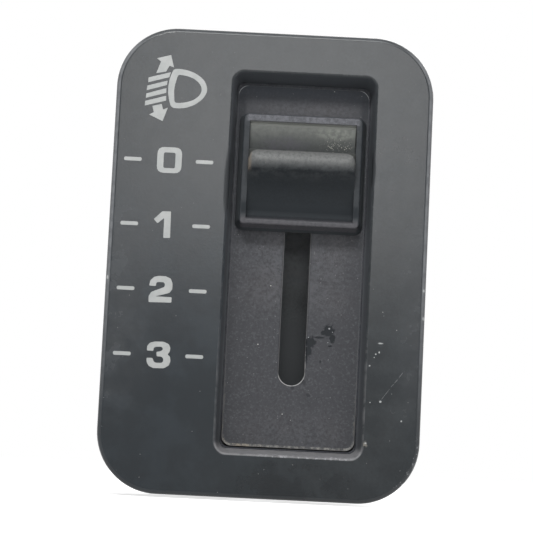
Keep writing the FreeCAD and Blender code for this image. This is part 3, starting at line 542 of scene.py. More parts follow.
def lane(place):
    x = x_of(place)
    left = band(x, -1.15, 0.25, 0.12)
    right = band(x, 7.85, 9.25, 0.12)
    return most(left, right)


track_paint = metal(
    "tinned_copper", (0.72, 0.47, 0.33), 0.35, (3, 1, 0.3), 0.004, [(lane, (0.86, 0.58, 0.42), 0.16)],
)
dress(track_paint, "common_track", "step_pads")

# Resistors. Three sandy lacquered bodies on tinned copper leads, bent and soldered into
# the board; their value is told by coloured rings round the body.

row_middles = (16.0, 5.5, -5.0)
half_pitch = 5.25
row_shift = 20.75
body_half = 3.5
bend_depth = 13.6
ring_half = 0.28
ring_offsets = (2.35, 1.0, 0.2, -1.9)
ring_colours = (
    ((0.33, 0.05, 0.02), (0.02, 0.02, 0.02), (0.33, 0.05, 0.02), (0.55, 0.36, 0.08)),
    ((0.75, 0.5, 0.02), (0.2, 0.02, 0.25), (0.33, 0.05, 0.02), (0.55, 0.36, 0.08)),
    ((0.6, 0.04, 0.02), (0.6, 0.04, 0.02), (0.33, 0.05, 0.02), (0.55, 0.36, 0.08)),
)
ring_paint, shader, place = start("resistor_lacquer")
_, y, z = axes(place)
coat = mix(cloud(place, 2.0, 4.0), (0.5, 0.36, 0.2), (0.62, 0.47, 0.28))
for row, colours in zip(row_middles, ring_colours):
    for offset, colour in zip(ring_offsets, colours):
        middle = row + offset
        coat = mix(band(z, middle - ring_half, middle + ring_half, 0.03), coat, colour)
from_middle = calc("SUBTRACT", half_pitch, calc("PINGPONG", calc("ADD", z, row_shift), half_pitch))
lead = most(calc("GREATER_THAN", bend_depth, y), calc("GREATER_THAN", from_middle, body_half))
feed(shader, {
    "Base Color": mix(lead, coat, (0.66, 0.65, 0.62)),
    "Metallic": lead,
    "Roughness": ramp(cloud(place, 1.5, 4.0), 0.3, 0.7, 0.22, 0.4),
})
dress(ring_paint, "ladder_resistors")

# Solder. Ten small cones of tin solder, drawn up where the terminals' tails and the resistors'
# leads come through the board; a little brown flux has dried on them.


def flux(place):
    return ramp(cloud(place, 2.2, 4.0, 0.6, 0.5), 0.55, 0.75, 0.0, 0.7)


solder_paint = metal(
    "tin_solder", (0.66, 0.67, 0.68), 0.26, (1, 1, 1), 0.01, [(flux, (0.4, 0.28, 0.12), 0.2)],
)
dress(solder_paint, "solder_joints")

# Terminals. Four blades stamped from 0.8 mm brass strip and tinned. Each has a thin tail that
# is soldered in the board, and a shoulder that the cover holds down.

blade_paint = metal("tinned_brass", (0.74, 0.73, 0.69), 0.3, (6, 0.4, 6), 0.004)
dress(blade_paint, "supply_terminal", "signal_terminal", "lamp_terminal", "ground_terminal")

# Lamp. A small wedge bulb in a holder of heat-proof plastic, which goes in through the hole
# in the cover and turns into the board; two bronze strips on it press on the board. The bulb
# lights the legends from behind through the clear plate.


def holder_heat(place):
    return ramp(y_of(place), 7.0, 12.0, 0.5, 0.0)


def holder_grip(place):
    sockets = {"Vector": place, "Scale": 0.55, "Distortion": 0.3}
    ridges = add(place, "ShaderNodeTexWave", sockets, bands_direction="X").outputs["Fac"]
    return both(ramp(ridges, 0.6, 0.9, 0.0, 0.35), ramp(y_of(place), 14.4, 14.8))


holder_paint = moulded(
    "holder_thermoplastic", (0.5, 0.49, 0.45), 0.5, 0.4, 3.5, 0.006, 0.06,
    [(holder_heat, (0.33, 0.26, 0.17), 0.55), (holder_grip, (0.38, 0.37, 0.34), 0.6)],
)
dress(holder_paint, "lamp_holder")
strip_paint = metal("spring_bronze", (0.7, 0.47, 0.27), 0.3, (0.5, 4, 4), 0.004)
dress(strip_paint, "lamp_contacts")
dress(metal("nickel_wire", (0.6, 0.6, 0.57), 0.3, (4, 0.3, 4), 0.002), "lamp_leads")
dress(metal("tungsten_wire", (0.3, 0.3, 0.31), 0.42, (1, 4, 4), 0.002), "lamp_filament")

glass_paint, shader, place = start("bulb_glass")
soot = ramp(cloud(place, 0.5, 3.0), 0.4, 0.8)
feed(shader, {
    "Base Color": mix(soot, (0.98, 0.99, 0.99), (0.8, 0.79, 0.77)),
    "Roughness": ramp(soot, 0.0, 1.0, 0.02, 0.09),
    "Transmission Weight": 1.0,
    "IOR": 1.5,
})
dress(glass_paint, "lamp_glass")

# Slide. The carriage is moulded from natural acetal, which needs no grease; its stem goes
# out through the slot into the knob. A bowed steel leaf in its two horns drops into the
# case's notches, and the bronze wiper is staked to its back.


def slide_grease(place):
    return ramp(cloud(place, 0.5, 4.0, 0.7, 0.8), 0.56, 0.76, 0.0, 0.6)


def slide_rub(place):
    x = x_of(place)
    return most(band(x, -4.9, -4.6, 0.1), band(x, 11.6, 11.9, 0.1))


slide_paint = moulded(
    "natural_acetal", (0.72, 0.7, 0.63), 0.42, 0.5, 3.0, 0.004, 0.04,
    [(slide_grease, (0.5, 0.44, 0.3), 0.25), (slide_rub, (0.6, 0.59, 0.55), 0.25)],
)
dress(slide_paint, "carriage")


def nose_polish(place):
    return ramp(x_of(place), 12.4, 12.9)


leaf_paint = metal(
    "spring_steel", (0.58, 0.59, 0.61), 0.32, (4, 4, 0.4), 0.003,
    [(nose_polish, (0.75, 0.76, 0.78), 0.12)],
)
dress(leaf_paint, "detent_leaf")
dress(strip_paint, "wiper")

# Cover screws. Three zinc-plated thread-forming screws, 2.9 mm, with a pan head and a cross
# recess. The thread is rolled: a sharp ridge wound round a thinner core, turned in through
# the cover and the board into the case's posts.

screw_places = ((4.0, 23.1), (-12.3, -23.1), (12.7, -23.1))
screw_seat = 20.0
shank_radius = 1.45
shank_least = 1.3
thread_crest = 1.47
thread_core = 1.12
thread_pitch = 1.05
thread_start = 6.8
thread_end = 17.4
thread_steps = 20


def reach(group, key):
    # identifier of a group's named input
    for item in group.interface.items_tree:
        if item.item_type == "SOCKET" and item.in_out == "INPUT" and item.name == key:
            return item.identifier
    raise KeyError(key)


def new_group(name, inputs):
    group = bpy.data.node_groups.new(name, "GeometryNodeTree")
    group.interface.new_socket("Geometry", in_out="INPUT", socket_type="NodeSocketGeometry")
    for key, kind, value in inputs:
        group.interface.new_socket(key, in_out="INPUT", socket_type=kind).default_value = value
    group.interface.new_socket("Geometry", in_out="OUTPUT", socket_type="NodeSocketGeometry")
    return group, group.nodes.new("NodeGroupInput"), group.nodes.new("NodeGroupOutput")


def plain_mesh(holder):
    # what the object shows, as a mesh of its own; the object is removed
    bpy.context.view_layer.update()
    made = holder.evaluated_get(bpy.context.evaluated_depsgraph_get())
    mesh = bpy.data.meshes.new_from_object(made)
    bpy.data.objects.remove(holder)
    return mesh


def grown(name, group, values, base=None):
    # runs a node group on base, or on an empty mesh, and keeps what it makes
    holder = put_in_scene(name + "_holder", base or bpy.data.meshes.new(name + "_seed"))
    modifier = holder.modifiers.new("grow", "NODES")
    modifier.node_group = group
    for key, value in values.items():
        modifier[reach(group, key)] = value
    mesh = plain_mesh(holder)
    mesh.name = name
    return put_in_scene(name, mesh)


def set_on_points(group, points, shape, paint, outside):
    # one copy of the shape on each point, made real and painted
    sockets = {"Points": points, "Instance": shape}
    placed = add(group, "GeometryNodeInstanceOnPoints", sockets).outputs[0]
    real = add(group, "GeometryNodeRealizeInstances", {"Geometry": placed}).outputs[0]
    sockets = {"Geometry": real, "Material": paint}
    group.links.new(add(group, "GeometryNodeSetMaterial", sockets).outputs[0], outside.inputs[0])


def thread_group(paint):
    # one wound ridge, set on each point of the base mesh
    group, inside, outside = new_group("rolled_thread", (
        ("Core radius", "NodeSocketFloat", 0.001),
        ("Crest radius", "NodeSocketFloat", 0.0015),
        ("Pitch", "NodeSocketFloat", 0.001),
        ("Length", "NodeSocketFloat", 0.01),
        ("Steps a turn", "NodeSocketInt", 20),
    ))
    given = inside.outputs
    root = calc("MULTIPLY", given["Core radius"], 0.96)
    spiral = add(group, "GeometryNodeCurveSpiral", {
        "Resolution": given["Steps a turn"],
        "Rotations": calc("DIVIDE", given["Length"], given["Pitch"]),
        "Start Radius": root,
        "End Radius": root,
        "Height": given["Length"],
    })
    rise = calc("SUBTRACT", given["Crest radius"], root)
    half = calc("MULTIPLY", given["Pitch"], 0.3)
    other = calc("MULTIPLY", half, -1.0)
    corners = [
        add(group, "ShaderNodeCombineXYZ", {"X": out, "Y": across}).outputs[0]
        for across, out in ((half, 0.0), (0.0, rise), (other, 0.0))
    ]
    sockets = {"Point %d" % (i + 1): corner for i, corner in enumerate(corners + corners[-1:])}
    ridge = add(group, "GeometryNodeCurvePrimitiveQuadrilateral", mode="POINTS")
    feed(ridge, sockets)
    wound = add(group, "GeometryNodeCurveToMesh", {
        "Curve": spiral.outputs[0], "Profile Curve": ridge.outputs[0], "Fill Caps": True,
    })
    sockets = {"Geometry": wound.outputs[0], "Rotation": (-math.pi / 2, 0, 0)}
    lay = add(group, "GeometryNodeTransform", sockets).outputs[0]
    points = add(group, "GeometryNodeMeshToPoints", {"Mesh": given["Geometry"]}).outputs[0]
    set_on_points(group, points, lay, paint, outside)
    return group


def recess_dirt(place):
    return ramp(cloud(place, 1.1, 5.0, 0.7), 0.55, 0.75, 0.0, 0.6)


screw_paint = metal(
    "zinc_plate", (0.64, 0.66, 0.68), 0.34, (1, 1, 1), 0.006, [(recess_dirt, (0.35, 0.33, 0.3), 0.5)],
)


def joined(name, pieces):
    # several meshes as one
    whole = bmesh.new()
    for piece in pieces:
        whole.from_mesh(piece.data)
    paint = pieces[0].data.materials[0]
    for piece in pieces:
        bpy.data.objects.remove(piece)
    return piece_from(name, whole, paint, 35)


thread_base = bpy.data.meshes.new("screw_points")
starts = [(x / 1000, thread_start / 1000, z / 1000) for x, z in screw_places]
thread_base.from_pydata(starts, [], [])
threads = grown("screw_threads", thread_group(screw_paint), {
    "Core radius": thread_core / 1000,
    "Crest radius": thread_crest / 1000,
    "Pitch": thread_pitch / 1000,
    "Length": (thread_end - thread_start) / 1000,
    "Steps a turn": thread_steps,
}, thread_base)
if not threads.data.materials:
    threads.data.materials.append(screw_paint)
shanks = bmesh.new()
shanks.from_mesh(solids["cover_screws"].data)
bmesh.ops.remove_doubles(shanks, verts=shanks.verts, dist=1e-6)
for vertex in shanks.verts:
    x, y, z = vertex.co * 1000
    centre = min(screw_places, key=lambda p: math.hypot(x - p[0], z - p[1]))
    away = Vector((x - centre[0], 0, z - centre[1]))
    if y < screw_seat - 0.01 and away.length > shank_least:
        vertex.co -= away / 1000 * (1 - thread_core / shank_radius)
shank_piece = piece_from("screw_shanks", shanks, screw_paint, 35)
screws = joined("threaded_cover_screws", [shank_piece, threads])
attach(screws, "case")
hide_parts("cover_screws")

# Light guide. A plate of clear acrylic between the case and the faceplate that carries the
# lamp's light up and down behind the legends; two pegs hold it in the case.

guide_paint, shader, place = start("clear_acrylic")
haze = cloud(place, 0.8, 5.0, 0.7)
feed(shader, {
    "Base Color": mix(ramp(haze, 0.4, 0.8), (0.93, 0.96, 0.96), (0.85, 0.88, 0.88)),
    "Roughness": ramp(haze, 0.3, 0.8, 0.04, 0.16),
    "Transmission Weight": 1.0,
    "IOR": 1.49,
})
dress(guide_paint, "light_guide")

# Faceplate. The bezel is moulded from black ABS with a fine spark-eroded grain, and snaps
# over the case with four hooks. Years of use have dusted and scratched its lower half, and
# dirt sits in the corners of the window.

plate_half = (21.5, 31.5)
plate_corner = 8.2
window_half = (9.68, 25.76)
window_corner = 1.49


def plate_edge(place):
    return rounded_distance(place, (0.0, 0.0), plate_half, plate_corner)


def window_edge(place):
    return rounded_distance(place, floor_centre, window_half, window_corner)


def plate_front(place):
    return ramp(y_of(place), -3.2, -2.9, 1.0, 0.0)


def plate_rim_painted_light(place):
    # painted light: the plate's rounded outer edge is painted pale, most from the middle up and less at
    # the bottom and the very top
    _, y, z = axes(place)
    worn = ramp(cloud(place, 0.8, 4.0, 0.6), 0.35, 0.6, 0.7, 1.0)
    upright = both(ramp(z, -27.0, 4.0, 0.12, 1.0), ramp(z, 28.0, 30.5, 1.0, 0.3))
    rounding = both(band(plate_edge(place), -0.54, 0.3, 0.1), ramp(y, -3.7, -3.5, 1.0, 0.0))
    return both(rounding, worn, upright)


def window_rim_wear_and_highlight(place):
    # a paler band round the window's edge, strongest on its lower half but not along the bottom: wear, and
    # a painted highlight on the rounding
    z = z_of(place)
    worn = ramp(cloud(place, 0.6, 4.0, 0.6), 0.35, 0.65, 0.15, 0.8)
    upright = both(ramp(z, -24.0, 0.0, 1.0, 0.2), ramp(z, -25.3, -24.3, 0.0, 1.0))
    return both(band(window_edge(place), 0.0, 0.34, 0.06), worn, upright)


def window_walls_painted_light(place):
    # painted light: the walls of the window are painted paler than the face, lifting their shade
    return ramp(window_edge(place), -0.06, 0.1, 1.0, 0.0)


def left_wall_painted_light(place):
    # painted light: the wall beside the knob and the figures is painted paler still, more so higher up,
    # lifting its shade
    x, _, z = axes(place)
    return both(window_walls_painted_light(place), ramp(x, -5.5, -5.0, 1.0, 0.0), ramp(z, 0.0, 7.0))


def wall_foot_dust_and_light(place):
    # dust, and painted light that lifts their shade, where the side walls stand on the floor
    _, y, z = axes(place)
    return both(window_walls_painted_light(place), ramp(y, -2.4, 0.3), band(z, -24.4, 23.0, 0.8))


def sill_dust_and_light(place):
    # pale dust and painted light on the window's lower wall, which faces up
    broken = ramp(cloud(place, 1.1, 4.0, 0.7), 0.3, 0.6, 0.55, 1.0)
    low = ramp(z_of(place), -23.8, -24.85)
    return both(ramp(window_edge(place), 0.14, 0.3, 1.0, 0.0), low, broken)


def sill_crumbs_and_highlight(place):
    # pale crumbs and a painted highlight along the sill's outer edge
    x, _, z = axes(place)
    bits = ramp(cloud(place, 2.4, 4.0, 0.7), 0.5, 0.62, 0.0, 0.8)
    sill = both(band(x, 0.5, 12.5, 2.0), ramp(z, -25.0, -25.3))
    return both(band(window_edge(place), -0.12, 0.26, 0.06), sill, bits)


def knob_side_rim_shade(place):
    # painted shade: on either side of the knob the window's edge is painted dark, where the knob's ridge
    # shades it
    left = patch(place, (-5.85, 10.6), (0.42, 4.2), 0.35, 0.4, 0.7)
    right = patch(place, (13.75, 13.3), (0.3, 2.6), 0.35, 0.4, 0.7)
    return both(most(left, right), plate_front(place))


def plate_lint(place):
    low = ramp(z_of(place), -25.0, 12.0, 1.0, 0.1)
    return both(specks(place, 0.75, 0.05, 0.13, 2.0), plate_front(place), low)


def plate_specks(place):
    low = ramp(z_of(place), -20.0, 5.0, 1.0, 0.0)
    return both(specks(place, 1.7, 0.085, 0.26, 11.0), plate_front(place), low)


def scratch(place, first, last, width, broken=0.45):
    # thin broken line from first to last, both (x, z)
    x, _, z = axes(place)
    run = (last[0] - first[0], last[1] - first[1])
    length = math.hypot(*run)
    ux, uz = run[0] / length, run[1] / length
    px = calc("SUBTRACT", x, first[0])
    pz = calc("SUBTRACT", z, first[1])
    along = calc("ADD", calc("MULTIPLY", px, ux), calc("MULTIPLY", pz, uz))
    across = calc("SUBTRACT", calc("MULTIPLY", px, uz), calc("MULTIPLY", pz, ux))
    wave = calc("MULTIPLY_ADD", cloud(place, 0.8), 0.3, -0.15)
    near = ramp(calc("ABSOLUTE", calc("ADD", across, wave)), width * 0.3, width, 1.0, 0.0)
    gaps = ramp(cloud(place, 2.2, 3.0, 0.7), broken, broken + 0.1)
    return both(near, band(along, 0.0, length, 0.15), gaps)


def plate_scratches(place):
    line = scratch(place, (16.16, -17.48), (18.98, -13.7), 0.035, 0.4)
    return both(line, plate_front(place))


def chips(place):
    # single pale spots where something hard has hit the plate or its edge
    spots = (
        ((15.69, -10.09), (0.3, 0.09)), ((15.57, -11.3), (0.09, 0.12)), ((15.12, -11.55), (0.09, 0.09)),
        ((14.93, -12.0), (0.06, 0.07)), ((14.36, -13.14), (0.1, 0.09)), ((16.0, -17.85), (0.15, 0.13)),
        ((14.63, -18.02), (0.07, 0.06)), ((18.89, -20.31), (0.1, 0.1)), ((14.25, -23.45), (0.12, 0.1)),
        ((-21.25, -2.96), (0.14, 0.28)), ((21.2, -2.76), (0.14, 0.2)), ((21.3, -6.5), (0.14, 0.22)),
    )
    return both(patches(place, spots, 0.35, 0.5, 3.0), ramp(y_of(place), -2.6, -2.2, 1.0, 0.0))


def corner_dirt(place):
    spot = patch(place, (14.2, -23.6), (0.3, 0.34), 0.35, 0.8, 2.6)
    return both(spot, ramp(cloud(place, 3.6, 4.0), 0.38, 0.6, 0.0, 0.8))


def nicks(place):
    x, _, z = axes(place)
    right = both(ramp(x, 17.0, 19.0), ramp(z, -26.0, -19.0, 1.0, 0.0))
    bits = ramp(cloud(place, 1.9, 5.0, 0.75), 0.58, 0.64, 0.0, 0.7)
    return both(band(plate_edge(place), -0.6, 0.05, 0.1), right, bits)


def wiped(place):
    # the strip under the window is rubbed blacker by fingers, in patches
    x, _, z = axes(place)
    under = both(band(x, -3.0, 13.0, 3.0), ramp(z, -25.6, -27.0))
    rubbed = ramp(cloud(place, 0.2, 4.0, 0.65), 0.36, 0.6, 0.15, 1.0)
    return most(both(rubbed, 0.5), both(under, rubbed))


def edge_haze(place):
    # fine dust that the hand doesn't reach, towards the two outer sides
    x, _, z = axes(place)
    side = most(ramp(x, -13.0, -20.5), ramp(x, 16.5, 20.5, 0.0, 0.8))
    cloudy = ramp(cloud(place, 0.3, 4.0, 0.65), 0.3, 0.7, 0.35, 0.95)
    return both(side, band(z, -20.0, 8.0, 6.0), cloudy)


def low_bloom(place):
    # bluish bloom low on the left
    return patch(place, (-15.0, -14.0), (16.0, 22.0), 0.7, 0.4, 0.1)


plate_paint = moulded(
    "bezel_abs", (0.0105, 0.0148, 0.018), 0.255, 0.3, 2.8, 0.008, 0.22,
    [
        (low_bloom, (0.009, 0.0145, 0.0195), 0.25),
        (edge_haze, (0.034, 0.038, 0.042), 0.32),
        (wiped, (0.0022, 0.0045, 0.0065), 0.2),
        (plate_rim_painted_light, (0.145, 0.15, 0.158), 0.8),
        (window_walls_painted_light, (0.05, 0.055, 0.061), 0.6),
        (left_wall_painted_light, (0.07, 0.075, 0.084), 0.6),
        (wall_foot_dust_and_light, (0.115, 0.122, 0.134), 0.7),
        (window_rim_wear_and_highlight, (0.07, 0.072, 0.075), 0.45),
        (sill_dust_and_light, (0.185, 0.184, 0.19), 0.8),
        (sill_crumbs_and_highlight, (0.33, 0.33, 0.345), 0.8),
        (knob_side_rim_shade, (0.012, 0.014, 0.016), 0.7),
        (plate_lint, (0.2, 0.2, 0.2), 0.8),
        (plate_specks, (0.5, 0.5, 0.48), 0.8),
        (corner_dirt, (0.2, 0.185, 0.16), 0.9),
        (nicks, (0.34, 0.35, 0.36), 0.7),
        (plate_scratches, (0.16, 0.165, 0.17), 0.6),
        (chips, (0.34, 0.35, 0.35), 0.7),
    ],
)
dress(plate_paint, "faceplate")

# Legends. Pale ink, pad-printed on the face: the headlamp symbol with its beam and two
# arrows, the figures 0 to 3 of the steps and a dash on either side of each. The print is
# thin and its edges have begun to crumble.

face = -4.0
ink_thick = 0.02
corner_points = 5
dash_rows = 4
dash_pitch = (9.67, 8.76)
dash_size = (2.38, 0.5)
dash_first = (-18.73, 13.2)
lamp_outer = (
    (-13.7, 25.76), (-13.1, 25.81), (-12.08, 25.7), (-11.05, 25.36), (-10.13, 24.82), (-9.53, 24.18),
    (-9.2, 23.29), (-9.32, 22.52), (-9.84, 21.72), (-10.81, 20.96), (-11.93, 20.5), (-12.93, 20.37),
    (-13.69, 20.4), (-14.05, 20.67), (-14.28, 21.37), (-14.48, 22.39), (-14.51, 23.28),
    (-14.39, 24.32), (-14.14, 25.1), (-13.94, 25.6),
)
lamp_inner = (
    (-13.06, 25.0), (-12.04, 24.89), (-11.13, 24.59), (-10.41, 24.07), (-10.0, 23.45), (-9.96, 22.8),
    (-10.31, 22.14), (-11.1, 21.55), (-12.09, 21.22), (-12.97, 21.11), (-13.54, 21.15),
    (-13.63, 22.04), (-13.7, 22.81), (-13.61, 23.59), (-13.35, 24.63), (-13.24, 24.92),
)
beams = (
    ((-17.23, 24.43), (-14.25, 25.29), (-14.43, 24.6), (-17.27, 23.76)),
    ((-17.33, 23.31), (-14.64, 24.11), (-14.68, 23.51), (-17.4, 22.66)),
    ((-17.42, 22.21), (-14.74, 23.09), (-14.75, 22.42), (-17.46, 21.61)),
    ((-17.53, 21.18), (-14.72, 22.03), (-14.69, 21.37), (-17.53, 20.54)),
)
arrow_up = (
    (-16.25, 27.13), (-14.35, 27.67), (-13.87, 25.96), (-14.49, 26.18), (-14.91, 25.35),
    (-16.23, 25.08), (-15.67, 26.7),
)
arrow_down = (
    (-16.51, 20.54), (-15.26, 20.88), (-15.04, 20.11), (-14.4, 20.41), (-15.02, 18.53),
    (-16.89, 19.34), (-16.26, 19.7),
)
zero_outer = ((-15.46, 11.49), (-12.14, 11.49), (-12.14, 15.0), (-15.46, 15.0))
zero_inner = ((-14.59, 12.15), (-13.01, 12.15), (-13.01, 14.28), (-14.59, 14.28))
figure_one = (
    (-15.46, 5.15), (-14.37, 6.25), (-13.21, 6.28), (-13.14, 2.68), (-14.06, 2.66), (-14.08, 5.34),
    (-14.95, 4.6),
)
figure_two = (
    (-15.59, -3.85), (-15.47, -3.16), (-14.98, -2.65), (-14.35, -2.49), (-13.38, -2.51),
    (-12.75, -2.79), (-12.48, -3.42), (-12.48, -4.23), (-12.85, -4.73), (-14.68, -5.26),
    (-12.5, -5.28), (-12.51, -6.01), (-15.55, -6.07), (-15.59, -5.27), (-15.27, -4.69),
    (-13.54, -3.96), (-13.48, -3.55), (-13.66, -3.32), (-14.46, -3.31), (-14.65, -3.45),
    (-14.69, -3.87),
)
figure_three = (
    (-15.41, -12.55), (-15.4, -11.94), (-15.05, -11.49), (-14.34, -11.3), (-13.22, -11.29),
    (-12.56, -11.56), (-12.3, -12.03), (-12.35, -12.55), (-12.62, -12.98), (-12.27, -13.25),
    (-12.2, -13.87), (-12.41, -14.44), (-13.03, -14.82), (-14.46, -14.86), (-15.09, -14.57),
    (-15.38, -14.03), (-15.4, -13.53), (-14.62, -13.51), (-14.43, -13.98), (-14.18, -14.13),
    (-13.38, -14.12), (-13.16, -13.92), (-13.18, -13.52), (-13.43, -13.29), (-14.07, -13.27),
    (-14.14, -12.68), (-13.55, -12.57), (-13.29, -12.32), (-13.34, -12.08), (-13.58, -11.96),
    (-14.22, -12.0), (-14.5, -12.14), (-14.56, -12.57),
)


def softened(corners, radius):
    # the same outline with each corner rounded
    points = []
    count = len(corners)
    for i, corner in enumerate(corners):
        here = Vector(corner)
        before = Vector(corners[i - 1]) - here
        after = Vector(corners[(i + 1) % count]) - here
        cut = min(radius, before.length * 0.45, after.length * 0.45)
        first = here + before.normalized() * cut
        last = here + after.normalized() * cut
        for step in range(corner_points):
            t = step / (corner_points - 1)
            points.append(first * (1 - t) ** 2 + here * (2 * t * (1 - t)) + last * t * t)
    return points


def ink_shape(name, loops):
    # flat filled outline with its holes, made a mesh and then laid on the face
    drawing = bpy.data.curves.new(name, "CURVE")
    drawing.dimensions = "2D"
    drawing.fill_mode = "BOTH"
    drawing.extrude = ink_thick / 2
    for loop in loops:
        line = drawing.splines.new("POLY")
        line.points.add(len(loop) - 1)
        for point, (x, z) in zip(line.points, loop):
            point.co = (x, z, 0, 1)
        line.use_cyclic_u = True
    mesh = plain_mesh(put_in_scene(name, drawing))
    cage = bmesh.new()
    cage.from_mesh(mesh)
    bmesh.ops.remove_doubles(cage, verts=cage.verts, dist=1e-5)
    for vertex in cage.verts:
        x, z, lift = vertex.co
        vertex.co = Vector((x, face - ink_thick / 2 - lift, z)) / 1000
    bmesh.ops.recalc_face_normals(cage, faces=cage.faces)
    return cage


def dash_group(paint):
    # dashes with rounded ends, in rows down the face and in two columns
    group, inside, outside = new_group("scale_dashes", (
        ("Rows", "NodeSocketInt", 4),
        ("Row pitch", "NodeSocketFloat", 0.00876),
        ("Column pitch", "NodeSocketFloat", 0.0097),
        ("Dash length", "NodeSocketFloat", 0.0024),
        ("Dash height", "NodeSocketFloat", 0.0005),
        ("Ink", "NodeSocketFloat", 0.00002),
    ))
    given = inside.outputs
    step = add(group, "ShaderNodeCombineXYZ", {"Z": calc("MULTIPLY", given["Row pitch"], -1.0)})
    sockets = {"Count": given["Rows"], "Offset": step.outputs[0]}
    rows = add(group, "GeometryNodeMeshLine", sockets).outputs[0]
    across = add(group, "ShaderNodeCombineXYZ", {"X": given["Column pitch"]}).outputs[0]
    sockets = {"Geometry": rows, "Translation": across}
    second = add(group, "GeometryNodeTransform", sockets).outputs[0]
    grid = add(group, "GeometryNodeJoinGeometry")
    sockets = {"Width": given["Dash length"], "Height": given["Dash height"]}
    bar = add(group, "GeometryNodeCurvePrimitiveQuadrilateral", sockets).outputs[0]
    sockets = {"Curve": bar, "Radius": calc("MULTIPLY", given["Dash height"], 0.42), "Count": 4}
    outline = add(group, "GeometryNodeFilletCurve", sockets, mode="POLY").outputs[0]
    sheet = add(group, "GeometryNodeFillCurve", {"Curve": outline}, mode="NGONS").outputs[0]
    sockets = {"Mesh": sheet, "Offset Scale": given["Ink"], "Individual": False}
    raised = add(group, "GeometryNodeExtrudeMesh", sockets).outputs[0]
    turned = add(group, "GeometryNodeFlipFaces", {"Mesh": sheet}).outputs[0]
    body = add(group, "GeometryNodeJoinGeometry")
    for part, whole in ((rows, grid), (second, grid), (raised, body), (turned, body)):
        group.links.new(part, whole.inputs[0])
    sockets = {"Geometry": body.outputs[0], "Distance": 1e-7}
    closed = add(group, "GeometryNodeMergeByDistance", sockets).outputs[0]
    sockets = {"Geometry": closed, "Rotation": (math.pi / 2, 0, 0)}
    upright = add(group, "GeometryNodeTransform", sockets).outputs[0]
    set_on_points(group, grid.outputs[0], upright, paint, outside)
    return group


ink_paint, shader, place = start("printed_ink")
thin = cloud(place, 0.8, 4.0, 0.6)
crumble = ramp(cloud(place, 5.5, 4.0, 0.7), 0.62, 0.7, 0.0, 0.55)
shown = mix(ramp(thin, 0.3, 0.7), (0.315, 0.327, 0.323), (0.362, 0.37, 0.366))
feed(shader, {
    "Base Color": mix(crumble, shown, (0.06, 0.062, 0.064)),
    "Roughness": ramp(thin, 0.3, 0.7, 0.6, 0.72),
    "Specular IOR Level": 0.2,
})

ink = bmesh.new()
shapes = [
    (softened(lamp_outer, 0.4), softened(lamp_inner, 0.4)),
    (softened(arrow_up, 0.08),),
    (softened(arrow_down, 0.08),),
    (softened(zero_outer, 0.95), softened(zero_inner, 0.25)),
    (softened(figure_one, 0.12),),
    (softened(figure_two, 0.14),),
    (softened(figure_three, 0.14),),
]
shapes += [(softened(beam, 0.06),) for beam in beams]
for number, loops in enumerate(shapes):
    cage = ink_shape("ink_%d" % number, loops)
    sheet = bpy.data.meshes.new("ink_sheet")
    cage.to_mesh(sheet)
    cage.free()
    ink.from_mesh(sheet)
dashes = grown("dash_marks", dash_group(ink_paint), {
    "Rows": dash_rows,
    "Row pitch": dash_pitch[1] / 1000,
    "Column pitch": dash_pitch[0] / 1000,
    "Dash length": dash_size[0] / 1000,
    "Dash height": dash_size[1] / 1000,
    "Ink": ink_thick / 1000,
})
shift = Vector((dash_first[0], face, dash_first[1])) / 1000
for vertex in dashes.data.vertices:
    vertex.co += shift
ink.from_mesh(dashes.data)
bpy.data.objects.remove(dashes)
legends = piece_from("legends", ink, ink_paint)
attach(legends, "case")

# Knob. Moulded from black acetal and pressed on the stem: a drafted block with a thin frame,
# a dish above for pushing down, a round ridge, and a long dish below for pushing up. Fingers
# have worn the dish and the ridge, which are also painted pale as painted highlight; the left
# end of the ridge is rubbed to a tan shine.

knob_middle = (slide_x, 12.85)
knob_half = (8.1, 7.5)
knob_corner = 0.6
dish_sides = (-3.15, 11.25)
lip_sides = (-3.9, 12.0)


def knob_edge(place):
    return rounded_distance(place, knob_middle, knob_half, knob_corner)


def upper_dish_wear_and_highlight(place):
    # the upper dish is painted pale, most at its top: wear, and a painted highlight
    x, _, z = axes(place)
    across = both(band(x, *dish_sides, 0.06), band(z, 15.35, 19.5, 0.12))
    fade = ramp(z, 15.9, 19.6, 0.34, 1.0)
    fine = ramp(cloud(place, 1.6, 5.0, 0.7), 0.3, 0.65, 0.75, 1.0)
    return both(across, fade, fine)


def dish_head_painted_light(place):
    # painted light: palest right under the frame, where the frame's shadow falls on the dish
    x, _, z = axes(place)
    return both(band(x, *dish_sides, 0.06), band(z, 19.0, 19.5, 0.18), ramp(z, 19.46, 19.5, 1.0, 0.0))


def dish_shade(place):
    spot = patch(place, (1.6, 16.5), (2.8, 0.95), 0.6, 0.5, 0.9)
    return both(spot, ramp(cloud(place, 1.8, 4.0), 0.35, 0.6, 0.2, 0.6))


def dish_shine(place):
    spot = patch(place, (8.6, 18.3), (2.3, 0.8), 0.6, 0.5, 1.0)
    return both(spot, ramp(cloud(place, 1.6, 4.0), 0.35, 0.6, 0.1, 0.42))


def ridge_wear_and_highlight(place):
    # the front of the ridge is painted pale: wear, and a painted highlight
    _, y, z = axes(place)
    fine = ramp(cloud(place, 2.6, 5.0, 0.75), 0.3, 0.6, 0.6, 1.0)
    return both(ramp(y, -3.9, -4.8), ramp(z, 12.5, 14.3), fine)


def ridge_corner_shade(place):
    # the ridge's two upper corners are rounded off, and painted dark there as painted shade so that they
    # hold no shine
    edge = rounded_distance(place, (slide_x, 13.0), (7.12, 2.2), 1.35)
    _, y, z = axes(place)
    return both(ramp(edge, -0.08, 0.08), ramp(y, -3.6, -4.0), ramp(z, 13.9, 14.2))


